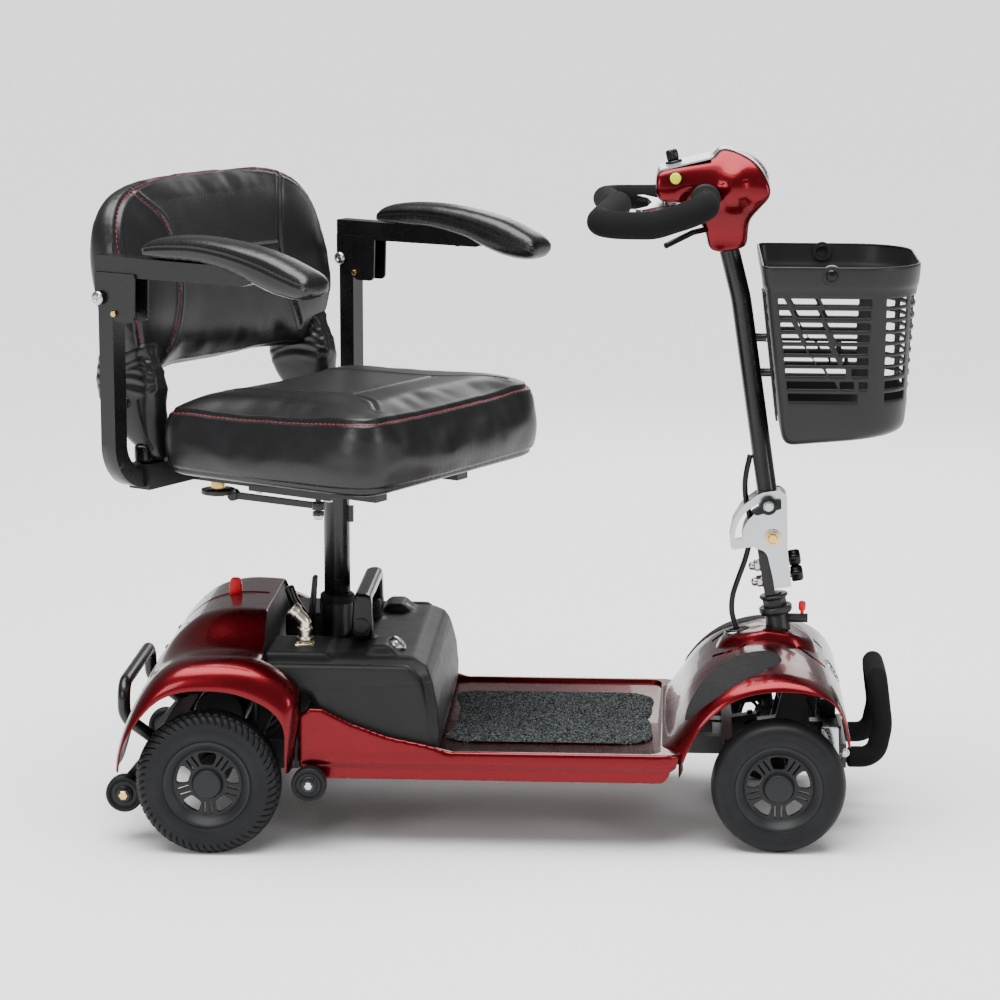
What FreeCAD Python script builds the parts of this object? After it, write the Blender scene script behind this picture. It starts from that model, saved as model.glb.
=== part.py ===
import FreeCAD, Part
import math
import os

# Four-wheel travel mobility scooter, in millimetres.
# +X is forward, +Y is to the rider's left, +Z is up.
# The origin is on the ground, on the centre plane, half way between the two axles.

V = FreeCAD.Vector

# ---- driving dimensions ----------------------------------------------------
WHEELBASE = 778.0
REAR_X = -WHEELBASE / 2
FRONT_X = WHEELBASE / 2
REAR_R = 100.0          # 8 inch treaded tyre
FRONT_R = 92.5          # 7.3 inch smooth tyre
REAR_Y = 228.0          # centre of a rear tyre
FRONT_Y = 177.0         # centre of a front tyre
TYRE_WIDTH = 50.0
RIM_R = 57.5            # seat of the tyre on its rim
AXLE_R = 8.0
RUN = 0.05              # radial clearance of a running fit
SMALL_BOLT_R = 5.0

DECK_HALF = 215.0
DECK_REAR = -270.0
DECK_FRONT = 258.0
DECK_BOTTOM = 95.0
DECK_FLOOR = 135.0      # top of the floor of the pan
DECK_EDGE = 141.0       # top of its raised edge
SHELL = 3.0             # thickness of the moulded panels

SEAT_X = -235.0         # axis of the seat post
SEAT_TURN = -30.0       # the seat is swivelled towards the rider's right
POST_R = 18.5
ARM_Y = 277.5           # centre of an armrest tube, from the seat's centre plane
ARM_SIZE = 25.0         # square armrest tube
ARM_X = -172.0

RAKE = 10.0             # steering axis and king pins lean back by this
STEER = V(388.5, 0, 290)
KING_Y = 135.0
STEER_ARM = 60.0
FOLD = V(380, 0, 406)   # pivot of the folding tiller
LOCK = V(373, 0, 453)   # locking bolt in the quadrant's slot
PANEL_TILT = 13.0       # slope of the control panel


# ---- helpers ---------------------------------------------------------------
def box(x0, x1, y0, y1, z0, z1):
    return Part.makeBox(x1 - x0, y1 - y0, z1 - z0, V(x0, y0, z0))


def rod(a, b, radius):
    """A round bar from point a to point b."""
    return Part.makeCylinder(radius, (b - a).Length, a, b - a)


def pipe(a, b, outer, inner):
    """A straight round tube."""
    return rod(a, b, outer).cut(rod(a, b, inner))


def both_sides(shape):
    """The shape and its mirror image in the centre plane."""
    return [shape, mirrored(shape)]


def mirrored(shape):
    return shape.mirror(V(0, 0, 0), V(0, 1, 0))


def corner(before, at, after, radius):
    """The tangent arc that rounds a corner, as its start, middle and end."""
    back = (before - at).normalize()
    ahead = (after - at).normalize()
    half = back.getAngle(ahead) / 2
    reach = radius / math.tan(half)
    middle = (back + ahead).normalize()
    centre = at + middle * (radius / math.sin(half))
    return at + back * reach, centre - middle * radius, at + ahead * reach


def route(points, radius, closed=False):
    """Straight runs joined by tangent arcs. radius is one number, or one for each point."""
    count = len(points)
    radii = radius if isinstance(radius, (list, tuple)) else [radius] * count
    edges = []
    last = None
    first = None
    for i in range(count):
        ends = not closed and i in (0, count - 1)
        if ends or not radii[i]:
            start = end = points[i]
            arc = None
        else:
            start, mid, end = corner(points[i - 1], points[i], points[(i + 1) % count], radii[i])
            arc = Part.Arc(start, mid, end).toShape()
        if last is not None and last.distanceToPoint(start) > 1e-6:
            edges.append(Part.LineSegment(last, start).toShape())
        if arc:
            edges.append(arc)
        if first is None:
            first = start
        last = end
    if closed and last.distanceToPoint(first) > 1e-6:
        edges.append(Part.LineSegment(last, first).toShape())
    return Part.Wire(edges)


def bent_tube(points, radius, bend):
    """A round bar that follows straight runs and arcs."""
    path = route([V(*p) for p in points], bend)
    start = V(*points[0])
    ahead = V(*points[1]) - start
    circle = Part.Wire(Part.makeCircle(radius, start, ahead))
    return path.makePipeShell([circle], True, False)


def side_plate(points, y0, y1, radius=0):
    """A plate cut to an outline of (x, z) points, from y0 to y1."""
    wire = route([V(x, y0, z) for x, z in points], radius, True)
    return Part.Face(wire).extrude(V(0, y1 - y0, 0))


def cross_plate(points, x0, x1, radius=0):
    """A plate cut to an outline of (y, z) points, from x0 to x1."""
    wire = route([V(x0, y, z) for y, z in points], radius, True)
    return Part.Face(wire).extrude(V(x1 - x0, 0, 0))


def flat_plate(points, z0, z1, radius=0):
    """A plate cut to an outline of (x, y) points, from z0 to z1."""
    wire = route([V(x, y, z0) for x, y in points], radius, True)
    return Part.Face(wire).extrude(V(0, 0, z1 - z0))


def fuse(shapes):
    whole = shapes[0]
    for shape in shapes[1:]:
        whole = whole.fuse(shape)
    return whole.removeSplitter()


def rounded(shape, radius, wanted):
    """Fillet the edges that the test wants, as many as will take it."""
    edges = [e for e in shape.Edges if wanted(e)]
    try:
        result = shape.makeFillet(radius, edges)
        if result.isValid() and result.Volume > 0:
            return result
    except Exception:
        pass
    for edge in list(edges):
        middle = edge.CenterOfMass
        match = [e for e in shape.Edges if e.CenterOfMass.distanceToPoint(middle) < 1e-3]
        try:
            result = shape.makeFillet(radius, match)
        except Exception:
            continue
        if result.isValid() and result.Volume > 0:
            shape = result
    return shape


def raked(shape):
    """Take a shape from the steering frame (origin on the steering axis) to its place."""
    shape = shape.copy()
    shape.rotate(V(0, 0, 0), V(0, 1, 0), -RAKE)
    shape.translate(STEER)
    return shape


def seated(shape):
    """Take a shape from the seat's own frame (x forward) to the swivelled seat."""
    shape = shape.copy()
    shape.rotate(V(0, 0, 0), V(0, 0, 1), SEAT_TURN)
    shape.translate(V(SEAT_X, 0, 0))
    return shape


def in_steering_frame(point):
    """Place of a point in the steering frame."""
    d = point - STEER
    a = math.radians(RAKE)
    return V(d.x * math.cos(a) + d.z * math.sin(a), d.y, d.z * math.cos(a) - d.x * math.sin(a))


KING = in_steering_frame(V(FRONT_X, KING_Y, FRONT_R))
TIE_Z = KING.z + 56.0   # height of the tie rod along the steering axis


# ---- wheels ----------------------------------------------------------------
def spun(points, radius, x, y, z):
    """Turn an outline of (distance along the axle, radius) points about an axle along Y."""
    wire = route([V(0, a, r) for a, r in points], radius, True)
    solid = Part.Face(wire).revolve(V(0, 0, 0), V(0, 1, 0), 360)
    solid.translate(V(x, y, z))
    return solid


def tyre(outer, x, y):
    half = TYRE_WIDTH / 2
    shoulder = 15.0
    outline = [(-half, RIM_R), (half, RIM_R), (half, outer), (-half, outer)]
    return spun(outline, [3, 3, shoulder, shoulder], x, y, outer)


def rim(radius, x, y, side):
    """A cast rim with five double spokes. side is +1 when its face looks to +Y."""
    inside = RIM_R - 7
    barrel = spun([(-21, inside), (21, inside), (21, RIM_R), (-21, RIM_R)], 0, 0, 0, 0)
    disc = spun([(6, AXLE_R), (18, AXLE_R), (18, 20), (12, 26), (12, 44), (19, 51), (19, 53), (6, 53)],
                0, 0, 0, 0)
    hub = spun([(-16, AXLE_R), (6, AXLE_R), (6, 17), (-16, 17)], 0, 0, 0, 0)
    wheel = fuse([barrel, disc, hub])
    window = side_plate([(-7, 26), (7, 26), (12, 43), (-12, 43)], 0, 30, 3)
    slot = side_plate([(-2.5, 27), (2.5, 27), (2.5, 42), (-2.5, 42)], 0, 30, 2.4)
    for i in range(5):
        for cutter, turn in ((window, 36), (slot, 0)):
            piece = cutter.copy()
            piece.rotate(V(0, 0, 0), V(0, 1, 0), turn + i * 72)
            wheel = wheel.cut(piece)
    cap = spun([(18, 0), (23, 0), (23, 14), (18, 19)], [0, 0, 3, 0], 0, 0, 0)
    solids = [wheel, cap]
    for i, solid in enumerate(solids):
        if side < 0:
            solid = solid.mirror(V(0, 0, 0), V(0, 1, 0))
        solid.translate(V(x, y, radius))
        solids[i] = solid
    return solids


def rear_rim(side):
    """Rim and the half shaft that turns with it inside the axle housing."""
    y = REAR_Y * side
    shaft = rod(V(REAR_X, side * 60, REAR_R), V(REAR_X, y + side * 18, REAR_R), AXLE_R)
    return rim(REAR_R, REAR_X, y, side) + [shaft]


def front_rim(side):
    """Rim with a bore that runs on the stub axle."""
    y = FRONT_Y * side
    wheel, cap = rim(FRONT_R, FRONT_X, y, side)
    a = V(FRONT_X, y - side * 17, FRONT_R)
    b = V(FRONT_X, y + side * 18, FRONT_R)
    return [wheel.cut(rod(a, b, AXLE_R + RUN)), cap]


def small_wheel(x, y, z, radius):
    """A small roller with a bolt bore and a raised hub."""
    outline = [(-10, SMALL_BOLT_R + RUN), (10, SMALL_BOLT_R + RUN), (10, 11), (8, 12), (8, radius - 6),
               (10, radius - 5), (9, radius), (-9, radius), (-10, radius - 5), (-8, radius - 6),
               (-8, 12), (-10, 11)]
    return spun(outline, 0, x, y, z)


# ---- rear section ----------------------------------------------------------
ANTITIP = V(-513.5, 181.5, 67)
ANTITIP_R = 26.0
TRANSIT = V(-250.5, 235, 100)
TRANSIT_R = 24.0
HOUSING_R = 22.0
SIDE_Y = 140.0


def rear_frame():
    axle = V(REAR_X, 0, REAR_R)
    plate = side_plate([(-480, 96), (-272, 96), (-272, 136), (-480, 136)], SIDE_Y, SIDE_Y + 6, 4)
    plate = plate.cut(rod(axle, axle + V(0, 200, 0), HOUSING_R))
    arm = side_plate([(-452, 129), (-480, 129), (-524, 76), (-524, 60), (-506, 58), (-452, 104)],
                     SIDE_Y + 6, SIDE_Y + 24, [2, 2, 8, 8, 8, 2])
    bolt = fuse([rod(ANTITIP + V(0, -17.5, 0), ANTITIP + V(0, 10.5, 0), SMALL_BOLT_R),
                 rod(ANTITIP + V(0, 10.5, 0), ANTITIP + V(0, 15, 0), 8.5)])
    arm = arm.cut(rod(ANTITIP + V(0, -40, 0), ANTITIP, SMALL_BOLT_R))
    cross = [box(-480, -455, -SIDE_Y, SIDE_Y, 104, 129), box(-287, -262, -SIDE_Y, SIDE_Y, 104, 129)]
    frame = fuse(cross + both_sides(plate.fuse(arm)))
    return [frame] + both_sides(bolt)


def transaxle():
    """Motor, gearbox and axle housing in one drive unit."""
    a = V(REAR_X, -172, REAR_R)
    b = V(REAR_X, 172, REAR_R)
    gearbox = rounded(box(-432, -346, -28, 40, 62, 156), 8, lambda e: True)
    motor = rounded(rod(V(-388, -128, 166), V(-388, -28, 166), 36), 4, lambda e: True)
    drive = fuse([rod(a, b, HOUSING_R), gearbox, motor])
    pivot = rod(V(LEVER_PIVOT.x, -9, LEVER_PIVOT.z), V(LEVER_PIVOT.x, 9, LEVER_PIVOT.z), 4)
    slot = box(-400, -350, -3.8, 3.8, 120, 170)
    return [drive.cut(rod(a, b, AXLE_R + RUN)).cut(slot).fuse(pivot)]


LEVER_PIVOT = V(-375, 0, 148)
LEVER_TOP = V(-380, 0, 332)


def freewheel_lever():
    """Red lever that lets the drive run free."""
    eye = rod(V(LEVER_PIVOT.x, -3, LEVER_PIVOT.z), V(LEVER_PIVOT.x, 3, LEVER_PIVOT.z), 9)
    stem = side_plate([(-371, 150), (-379, 150), (-388.5, 325), (-387, 332), (-373, 332), (-371, 325)],
                      -3, 3, [0, 0, 0, 4, 4, 0])
    lever = fuse([eye, stem])
    hole = rod(V(LEVER_PIVOT.x, -5, LEVER_PIVOT.z), V(LEVER_PIVOT.x, 5, LEVER_PIVOT.z), 4 + RUN)
    return [lever.cut(hole)]


def rear_bumper(frame):
    """Bent tube loop behind the rear shroud."""
    y = 115
    points = [(-468, -y, 117), (-524, -y, 158), (-524, -y, 205), (-524, y, 205), (-524, y, 158),
              (-468, y, 117)]
    return [bent_tube(points, 9, [0, 28, 24, 24, 28, 0]).cut(frame)]


HUMP = [(-520, 150), (-503, 190), (-487, 217), (-472, 246), (-452, 273), (-429, 294), (-400, 308),
        (-372, 313), (-321.5, 312), (-321.5, 150)]
HUMP_SIDE = [(-182, 100), (-182, 268), (-140, 296), (-100, 313), (100, 313), (140, 296), (182, 268),
             (182, 100)]
FENDER = [(-517, 110), (-515, 142), (-505, 173), (-487, 212), (-462, 245), (-432, 264), (-396, 271),
          (-350, 272), (-318, 266), (-288, 250), (-262, 227), (-268, 184), (-274, 134), (-274, 110)]
FENDER_SIDE = [(-255, 60), (-255, 238), (-246, 258), (-226, 270), (-190, 273), (190, 273), (226, 270),
               (246, 258), (255, 238), (255, 60)]
ARCH = [(-515, 142), (-497, 172), (-472, 203), (-444, 222), (-414, 230), (-387, 232), (-361, 230),
        (-334, 224), (-310, 213), (-291, 197), (-282, 175), (-283, 134), (-283, 60), (-540, 60)]


def shell_of(long_outline, across_outline, low, high, reach):
    """Solid with one outline from the side and one from the end, and the hollow inside it."""
    outer = side_plate(long_outline, -reach, reach).common(cross_plate(across_outline, low, high))
    long_wire = route([V(x, -reach, z) for x, z in long_outline], 0, True).makeOffset2D(-SHELL)
    across_wire = route([V(low, y, z) for y, z in across_outline], 0, True).makeOffset2D(-SHELL)
    inner = Part.Face(long_wire).extrude(V(0, 2 * reach, 0))
    inner = inner.common(Part.Face(across_wire).extrude(V(high - low, 0, 0)))
    return outer, inner


def rear_shroud():
    hump, hump_inside = shell_of(HUMP, HUMP_SIDE, -560, -200, 200)
    fenders, fender_inside = shell_of(FENDER, FENDER_SIDE, -560, -200, 270)
    body = hump.fuse(fenders).cut(hump_inside.fuse(fender_inside))
    arch = side_plate(ARCH, 150, 270)
    for side in both_sides(arch):
        body = body.cut(side)
    bay = box(-321.4, -200, -203, 203, 50, 400)
    rear_gap = box(-560, -470, -150.01, 150.01, 50, 180)
    below = box(-560, -200, -150.01, 150.01, 50, 152)
    body = body.cut(bay).cut(rear_gap).cut(below)
    lever_slot = box(-452, -328, -6, 6, 270, 330)
    body = body.cut(lever_slot)
    return biggest(body)


def biggest(shape):
    """The main solid of a cut shape, without any crumbs."""
    return [max(shape.Solids, key=lambda s: s.Volume)]


def seat_post_socket():
    """Foot plate and outer tube that the seat post drops into."""
    foot = V(SEAT_X, 0, 129)
    plate = box(-287, -208, -38, 38, 129, 135)
    tube = rod(foot, V(SEAT_X, 0, 312), 22)
    gusset = side_plate([(-283, 135), (-255, 135), (-255, 200)], -3, 3)
    clamp = box(SEAT_X - 24, SEAT_X - 19, -9, 9, 285, 308)
    socket = fuse([plate, tube, gusset, clamp])
    return [socket.cut(rod(V(SEAT_X, 0, 136), V(SEAT_X, 0, 320), POST_R + RUN))]


# ---- battery ---------------------------------------------------------------
HANDLE_PIVOT = V(-192, 0, 284)


def battery_box():
    """Battery case with two wings round the seat post and two pods on top."""
    long_outline = [(-318, 236), (-318, 262), (-98, 262), (-88, 240), (-80, 200), (-76, 165), (-79, 136.5),
                    (-222, 136.5), (-258, 218)]
    across = [(-198, 130), (-196, 215), (-172, 262), (172, 262), (196, 215), (198, 130)]
    case = side_plate(long_outline, -210, 210, [0, 6, 12, 20, 20, 6, 4, 4, 8])
    case = case.common(cross_plate(across, -330, -60, [0, 14, 14, 14, 14, 0]))
    pod = side_plate([(-182, 255), (-178, 274), (-146, 274), (-118, 238), (-118, 230), (-182, 230)], 97, 158,
                     [0, 6, 8, 0, 0, 0])
    boss = box(-204, -180, 50, 72, 255, 292)
    case = fuse([case] + both_sides(pod) + both_sides(boss))
    case = case.cut(box(-330, -208, -62, 62, 100, 300))
    for side in (1, -1):
        pin = rod(HANDLE_PIVOT + V(0, side * 60, 0), HANDLE_PIVOT + V(0, side * 80, 0), 6)
        case = case.fuse(pin)
    elbow = bent_tube([(-268, -118, 262), (-268, -118, 300), (-290, -118, 322)], 9, [0, 9, 0])
    flange = box(-281, -255, -131, -105, 262, 266)
    return [case.removeSplitter(), fuse([flange, elbow.cut(box(-281, -255, -131, -105, 255, 262))])]


def battery_handle():
    """Carrying handle that folds forward on two pins."""
    y0 = 72.5
    y1 = 93
    leg = side_plate([(-207, 268), (-176, 268), (-178, 333), (-203, 333)], y0, y1, [6, 6, 0, 0])
    bar = side_plate([(-203, 318), (-178.5, 318), (-178, 333), (-203, 333)], -y1, y1)
    handle = fuse([bar] + both_sides(leg))
    for side in (1, -1):
        handle = handle.cut(rod(HANDLE_PIVOT + V(0, side * 70, 0), HANDLE_PIVOT + V(0, side * 80.3, 0), 6 + RUN))
    return [handle]


# ---- deck ------------------------------------------------------------------
TRAY = [(-266, 120), (-266, 190), (-240, 201), (-196, 178), (-144, 161), (-92, 152), (-66, 141), (-66, 120)]


def deck_pan():
    plan = [(DECK_REAR, -DECK_HALF), (DECK_FRONT, -DECK_HALF), (DECK_FRONT, DECK_HALF),
            (DECK_REAR, DECK_HALF)]
    outer = flat_plate(plan, DECK_BOTTOM, DECK_EDGE, [10, 24, 24, 10])
    hollow = box(DECK_REAR - SHELL, DECK_FRONT - SHELL, -DECK_HALF + SHELL, DECK_HALF - SHELL,
                 DECK_BOTTOM - 5, DECK_FLOOR - SHELL)
    recess = flat_plate([(DECK_REAR - 20, -205), (226, -205), (226, 205), (DECK_REAR - 20, 205)],
                        DECK_FLOOR, DECK_EDGE + 5, [0, 18, 18, 0])
    wall = side_plate(TRAY, 207, DECK_HALF)
    pan = fuse([outer.cut(recess)] + both_sides(wall)).cut(hollow)
    post_bay = box(DECK_REAR - 5, -202, -66, 66, 50, 200)
    pan = pan.cut(post_bay)
    for side in (1, -1):
        y0, y1 = sorted((side * 200, side * 230))
        pan = pan.cut(box(-262, -239, y0, y1, 60, 112))
    for side in (1, -1):
        y0, y1 = sorted((side * 32, side * 58))
        pan = pan.cut(box(250, 262, y0, y1, 90, 129))
    front_cut = side_plate([(262, 60), (262, 118), (240, 90), (200, 90), (200, 60)], -230, 230)
    return [pan.cut(front_cut)]


def deck_mat():
    points = [(-76, -118), (-52, -137), (190, -137), (217, -112), (213, -24), (206, 0), (213, 24),
              (217, 112), (190, 137), (-52, 137), (-76, 118), (-62, 60), (-62, -60)]
    return [flat_plate(points, DECK_FLOOR, DECK_FLOOR + 4, [14, 20, 20, 16, 8, 6, 8, 16, 20, 20, 14, 30, 30])]


# ---- front section ---------------------------------------------------------
def front_frame():
    """Keel tubes, axle beam, king pin bosses and head tube, welded together."""
    keel = both_sides(box(-262, 478, 34, 56, 102, 127))
    roller_bar = box(-258, -243, -222, 222, 92, 108)
    ties = [box(x, x + 20, -56, 56, 104, 125) for x in (-180, 60, 300)]
    beam = box(377, 401, -126, 126, 80, 104)
    top = box(398, 428, -45, 45, 172, 196)
    gussets = both_sides(side_plate([(380, 120), (440, 120), (428, 196), (398, 196)], 34, 45))
    bosses = []
    for side in (1, -1):
        at = V(KING.x, side * KING_Y, KING.z)
        bosses.append(raked(rod(at + V(0, 0, -22), at + V(0, 0, 22), 13)))
    head = raked(rod(V(0, 0, -118), V(0, 0, 6), 17))
    stub = rod(V(398, 0, 287), V(432, 0, 287), 6.5)
    nose = box(458, 478, -56, 56, 102, 127)
    frame = fuse(keel + [roller_bar, beam, top, nose, stub, head] + ties + gussets + bosses)
    for side in (1, -1):
        at = V(KING.x, side * KING_Y, KING.z)
        frame = frame.cut(raked(rod(at + V(0, 0, -40), at + V(0, 0, 40), AXLE_R + RUN)))
    frame = frame.cut(raked(rod(V(0, 0, -160), V(0, 0, 40), 12 + RUN)))
    frame = frame.cut(rod(V(424, 0, 284), V(424, 0, 300), 2.5 + RUN))
    bolt = fuse([rod(TRANSIT + V(0, -13, 0), TRANSIT + V(0, 10.5, 0), SMALL_BOLT_R),
                 rod(TRANSIT + V(0, 10.5, 0), TRANSIT + V(0, 14, 0), 8)])
    return [frame] + both_sides(bolt)


NOSE = [(226, 141.5), (241, 154), (255, 190), (277, 222), (302, 242), (334, 257), (372, 265), (405, 260),
        (435, 247), (460, 225), (477, 196), (486, 160), (486, 120), (226, 120)]
NOSE_SIDE = [(-200, 60), (-200, 222), (-192, 238), (-168, 251), (-110, 260), (0, 266), (110, 260),
             (168, 251), (192, 238), (200, 222), (200, 60)]
FRONT_ARCH = [(264, 60), (264, 135), (270, 150), (286, 180), (310, 203), (337, 219), (365, 227), (395, 229),
              (430, 227), (454, 220), (470, 210), (481, 188), (500, 165), (500, 60)]


def nose_solid(grow):
    """The outer form of the front shroud, grown outwards by a little."""
    long_wire = route([V(x, -230, z) for x, z in NOSE], 0, True)
    across_wire = route([V(200, y, z) for y, z in NOSE_SIDE], 0, True)
    if grow:
        long_wire = long_wire.makeOffset2D(grow)
        across_wire = across_wire.makeOffset2D(grow)
    solid = Part.Face(long_wire).extrude(V(0, 460, 0))
    return solid.common(Part.Face(across_wire).extrude(V(320, 0, 0)))


def front_shroud(lamp):
    body = nose_solid(0).cut(nose_solid(-SHELL))
    for arch in both_sides(side_plate(FRONT_ARCH, 88, 230)):
        body = body.cut(arch)
    body = body.cut(box(268, 500, -88.01, 88.01, 50, 166)).cut(box(200, 500, -230, 230, 50, 141.5))
    body = body.cut(raked(rod(V(0, 0, -80), V(0, 0, 20), 24)))
    for side in (1, -1):
        y0, y1 = sorted((side * 22, side * 30))
        body = body.cut(box(305, 345, y0, y1, 225, 290)).cut(box(425, 462, y0, y1, 200, 290))
    return biggest(body.cut(lamp))


def grip_pads():
    """Two kidney-shaped anti-slip pads on the front shroud."""
    skin = nose_solid(1.6).cut(nose_solid(0))
    plan = flat_plate([(262, -176), (300, -190), (360, -172), (394, -138), (386, -100), (340, -92),
                       (296, -108), (264, -140)], 150, 300, [14, 30, 26, 16, 18, 26, 30, 20])
    pad = skin.common(plan)
    return both_sides(biggest(pad)[0])


LAMP = V(466, 0, 210)
LAMP_AIM = V(0.87, 0, 0.5)


def headlight():
    base = LAMP - LAMP_AIM * 9
    lens = rod(base, base + LAMP_AIM * 12, 17)
    return [rounded(lens, 3, lambda e: e.CenterOfMass.x > LAMP.x)]


BUMPER_Y = 67.0
BUMPER_R = 15.0


def bumper_route():
    y = BUMPER_Y
    half = [(486, y, 104), (527, y, 104), (536, y, 150), (528, y, 214)]
    return half + [(x, -yy, z) for x, yy, z in reversed(half)]


def front_bumper():
    """Steel core of the front bumper with its mounting block."""
    core = bent_tube([(479, BUMPER_Y, 104)] + bumper_route() + [(479, -BUMPER_Y, 104)], 9,
                     [0, 0, 24, 60, 22, 22, 60, 24, 0, 0])
    block = box(479, 486, -84, 84, 92, 126)
    plates = both_sides(box(456, 478, 72, 84, 112, 150))
    arms = both_sides(box(456, 486, 72, 84, 112, 126))
    return [fuse([core, block] + plates + arms)]


def bumper_foam():
    points = bumper_route()
    radii = [0, 24, 60, 22, 22, 60, 24, 0]
    return [bent_tube(points, BUMPER_R, radii).cut(bent_tube(points, 9, radii))]


def steer_lock_pin():
    """Spring pin with a coloured tip that locks the steering."""
    shank = rod(V(424, 0, 285), V(424, 0, 300), 2.5)
    tip = rounded(rod(V(424, 0, 298), V(424, 0, 311), 4), 1.5, lambda e: True)
    return [fuse([shank, tip])]


def knuckle(side):
    """Yoke round the king pin boss, with the pin, the stub axle and the steering arm."""
    y = side * KING_Y
    at = V(KING.x, y, KING.z)
    y0, y1 = sorted((y - side * 12, y + side * 20))
    p0, p1 = sorted((y + side * 14, y + side * 20))
    upper = box(at.x - 13, at.x + 13, y0, y1, at.z + 22.5, at.z + 30)
    lower = box(at.x - 13, at.x + 13, y0, y1, at.z - 30, at.z - 22.5)
    back = box(at.x - 13, at.x + 13, p0, p1, at.z - 30, at.z + 30)
    pin = rod(at + V(0, 0, -30), at + V(0, 0, TIE_Z - 8 - at.z), AXLE_R)
    end = V(at.x - STEER_ARM, y, TIE_Z - 8)
    arm = box(end.x, at.x, y - 8, y + 8, TIE_Z - 14, TIE_Z - 8)
    eye = rod(end + V(0, 0, -6), end, 10)
    ball = rod(end, end + V(0, 0, 16), 4)
    parts = [raked(s) for s in (upper, lower, back, pin, arm, eye, ball)]
    stub = rod(V(FRONT_X, y + side * 17, FRONT_R), V(FRONT_X, side * (FRONT_Y + 17.5), FRONT_R), AXLE_R)
    return [fuse(parts + [stub])]


def tie_rod():
    """One rigid bar from wheel to wheel, driven in the middle by the stem's arm."""
    x = KING.x - STEER_ARM
    bar = box(x - 7, x + 7, -KING_Y - 9, KING_Y + 9, TIE_Z - 4, TIE_Z + 4)
    tongue = box(x, -STEER_ARM + 9, -9, 9, TIE_Z - 4, TIE_Z + 4)
    link = fuse([bar, tongue])
    holes = [(V(-STEER_ARM, 0, 0), 4 + RUN)] + [(V(x, s * KING_Y, 0), 4.5) for s in (1, -1)]
    for at, radius in holes:
        link = link.cut(rod(at + V(0, 0, TIE_Z - 10), at + V(0, 0, TIE_Z + 10), radius))
    return [raked(link)]


def steering_stem():
    """Shaft in the head tube, with its arm below, lock nuts and the hinge bracket above."""
    shaft = rod(V(0, 0, TIE_Z - 14), V(0, 0, 34), 12)
    arm = box(-STEER_ARM, 0, -9, 9, TIE_Z - 14, TIE_Z - 6)
    eye = rod(V(-STEER_ARM, 0, TIE_Z - 14), V(-STEER_ARM, 0, TIE_Z - 6), 10)
    ball = rod(V(-STEER_ARM, 0, TIE_Z - 6), V(-STEER_ARM, 0, TIE_Z + 8), 4)
    race = rod(V(0, 0, 6.5), V(0, 0, 15), 22)
    nut = Part.Face(Part.makePolygon([V(16.5 * math.cos(a), 16.5 * math.sin(a), 15) for a in
                                      [math.radians(60 * i) for i in range(7)]])).extrude(V(0, 0, 10))
    bracket = box(-12, 3, -16, 16, 34, 96)
    stem = fuse([raked(s) for s in (shaft, arm, eye, ball, race, nut, bracket)])
    bolts = []
    for z in (54, 76):
        head = raked(rod(V(-20, 0, z), V(-12, 0, z), 7))
        bolts.append(head)
    return [stem] + bolts


CHEEK = [(385, 334), (407, 338), (401, 392), (399, 466), (389, 474), (362, 470), (338, 452), (324, 428),
         (320, 404), (322, 388), (352, 393), (372, 386)]
CHEEK_R = [2, 4, 12, 8, 10, 30, 30, 24, 16, 6, 12, 16]


def hinge_plates():
    """Bright folding bracket: a block bolted to the stem and two slotted quadrant cheeks."""
    block = raked(box(3, 27, -18, 18, 42, 88))
    cheeks = both_sides(side_plate(CHEEK, 18, 22, CHEEK_R))
    bracket = fuse([block] + cheeks)
    reach = FOLD.distanceToPoint(LOCK)
    ring = rod(V(FOLD.x, -30, FOLD.z), V(FOLD.x, 30, FOLD.z), reach + 5.2)
    ring = ring.cut(rod(V(FOLD.x, -30, FOLD.z), V(FOLD.x, 30, FOLD.z), reach - 5.2))
    start = math.radians(91.5)
    stop = math.radians(190)
    far = 120
    wedge = side_plate([(FOLD.x, FOLD.z),
                        (FOLD.x + far * math.cos(start), FOLD.z + far * math.sin(start)),
                        (FOLD.x + far * math.cos(2.4), FOLD.z + far * math.sin(2.4)),
                        (FOLD.x + far * math.cos(stop), FOLD.z + far * math.sin(stop))], -30, 30)
    bracket = bracket.cut(ring.common(wedge))
    hole = rod(V(FOLD.x, -40, FOLD.z), V(FOLD.x, 40, FOLD.z), 6)
    pin = fuse([rod(V(FOLD.x, -28, FOLD.z), V(FOLD.x, 28, FOLD.z), 6),
                rod(V(FOLD.x, -27, FOLD.z), V(FOLD.x, -22, FOLD.z), 9.5),
                rod(V(FOLD.x, 22, FOLD.z), V(FOLD.x, 27, FOLD.z), 9.5)])
    knobs = []
    for z in (56, 79):
        knobs.append(raked(fuse([rod(V(27, 0, z), V(33, 0, z), 5), rod(V(33, 0, z), V(44, 0, z), 10)])))
    return [bracket.cut(hole), pin] + knobs


# ---- tiller ----------------------------------------------------------------
TILLER = [(376, 0, 440), (330.5, 0, 742), (298, 0, 868)]
TILLER_R = 14.0


def tiller_tube():
    """Tiller tube with its hinge foot below, the handlebar clamp above and the basket hanger."""
    tube = bent_tube(TILLER, TILLER_R, [0, 220, 0])
    foot = side_plate([(366, 392), (394, 392), (393, 472), (358, 472)], -17.5, 17.5, [12, 12, 3, 3])
    clamp = box(268, 312, -16, 16, 868, 898)
    hanger = side_plate([(359.1, 752), (362.2, 752), (384, 572), (380.9, 572)], -22, 22)
    pegs = [rod(V(338, 0, 686), V(368.5, 0, 686), 6), rod(V(346, 0, 637), V(374.5, 0, 637), 6)]
    tiller = fuse([tube, foot, clamp, hanger] + pegs)
    tiller = tiller.cut(rod(V(FOLD.x, -40, FOLD.z), V(FOLD.x, 40, FOLD.z), 6 + RUN))
    return [tiller.cut(rod(V(LOCK.x, -40, LOCK.z), V(LOCK.x, 40, LOCK.z), 4.5 + RUN))]


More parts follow.
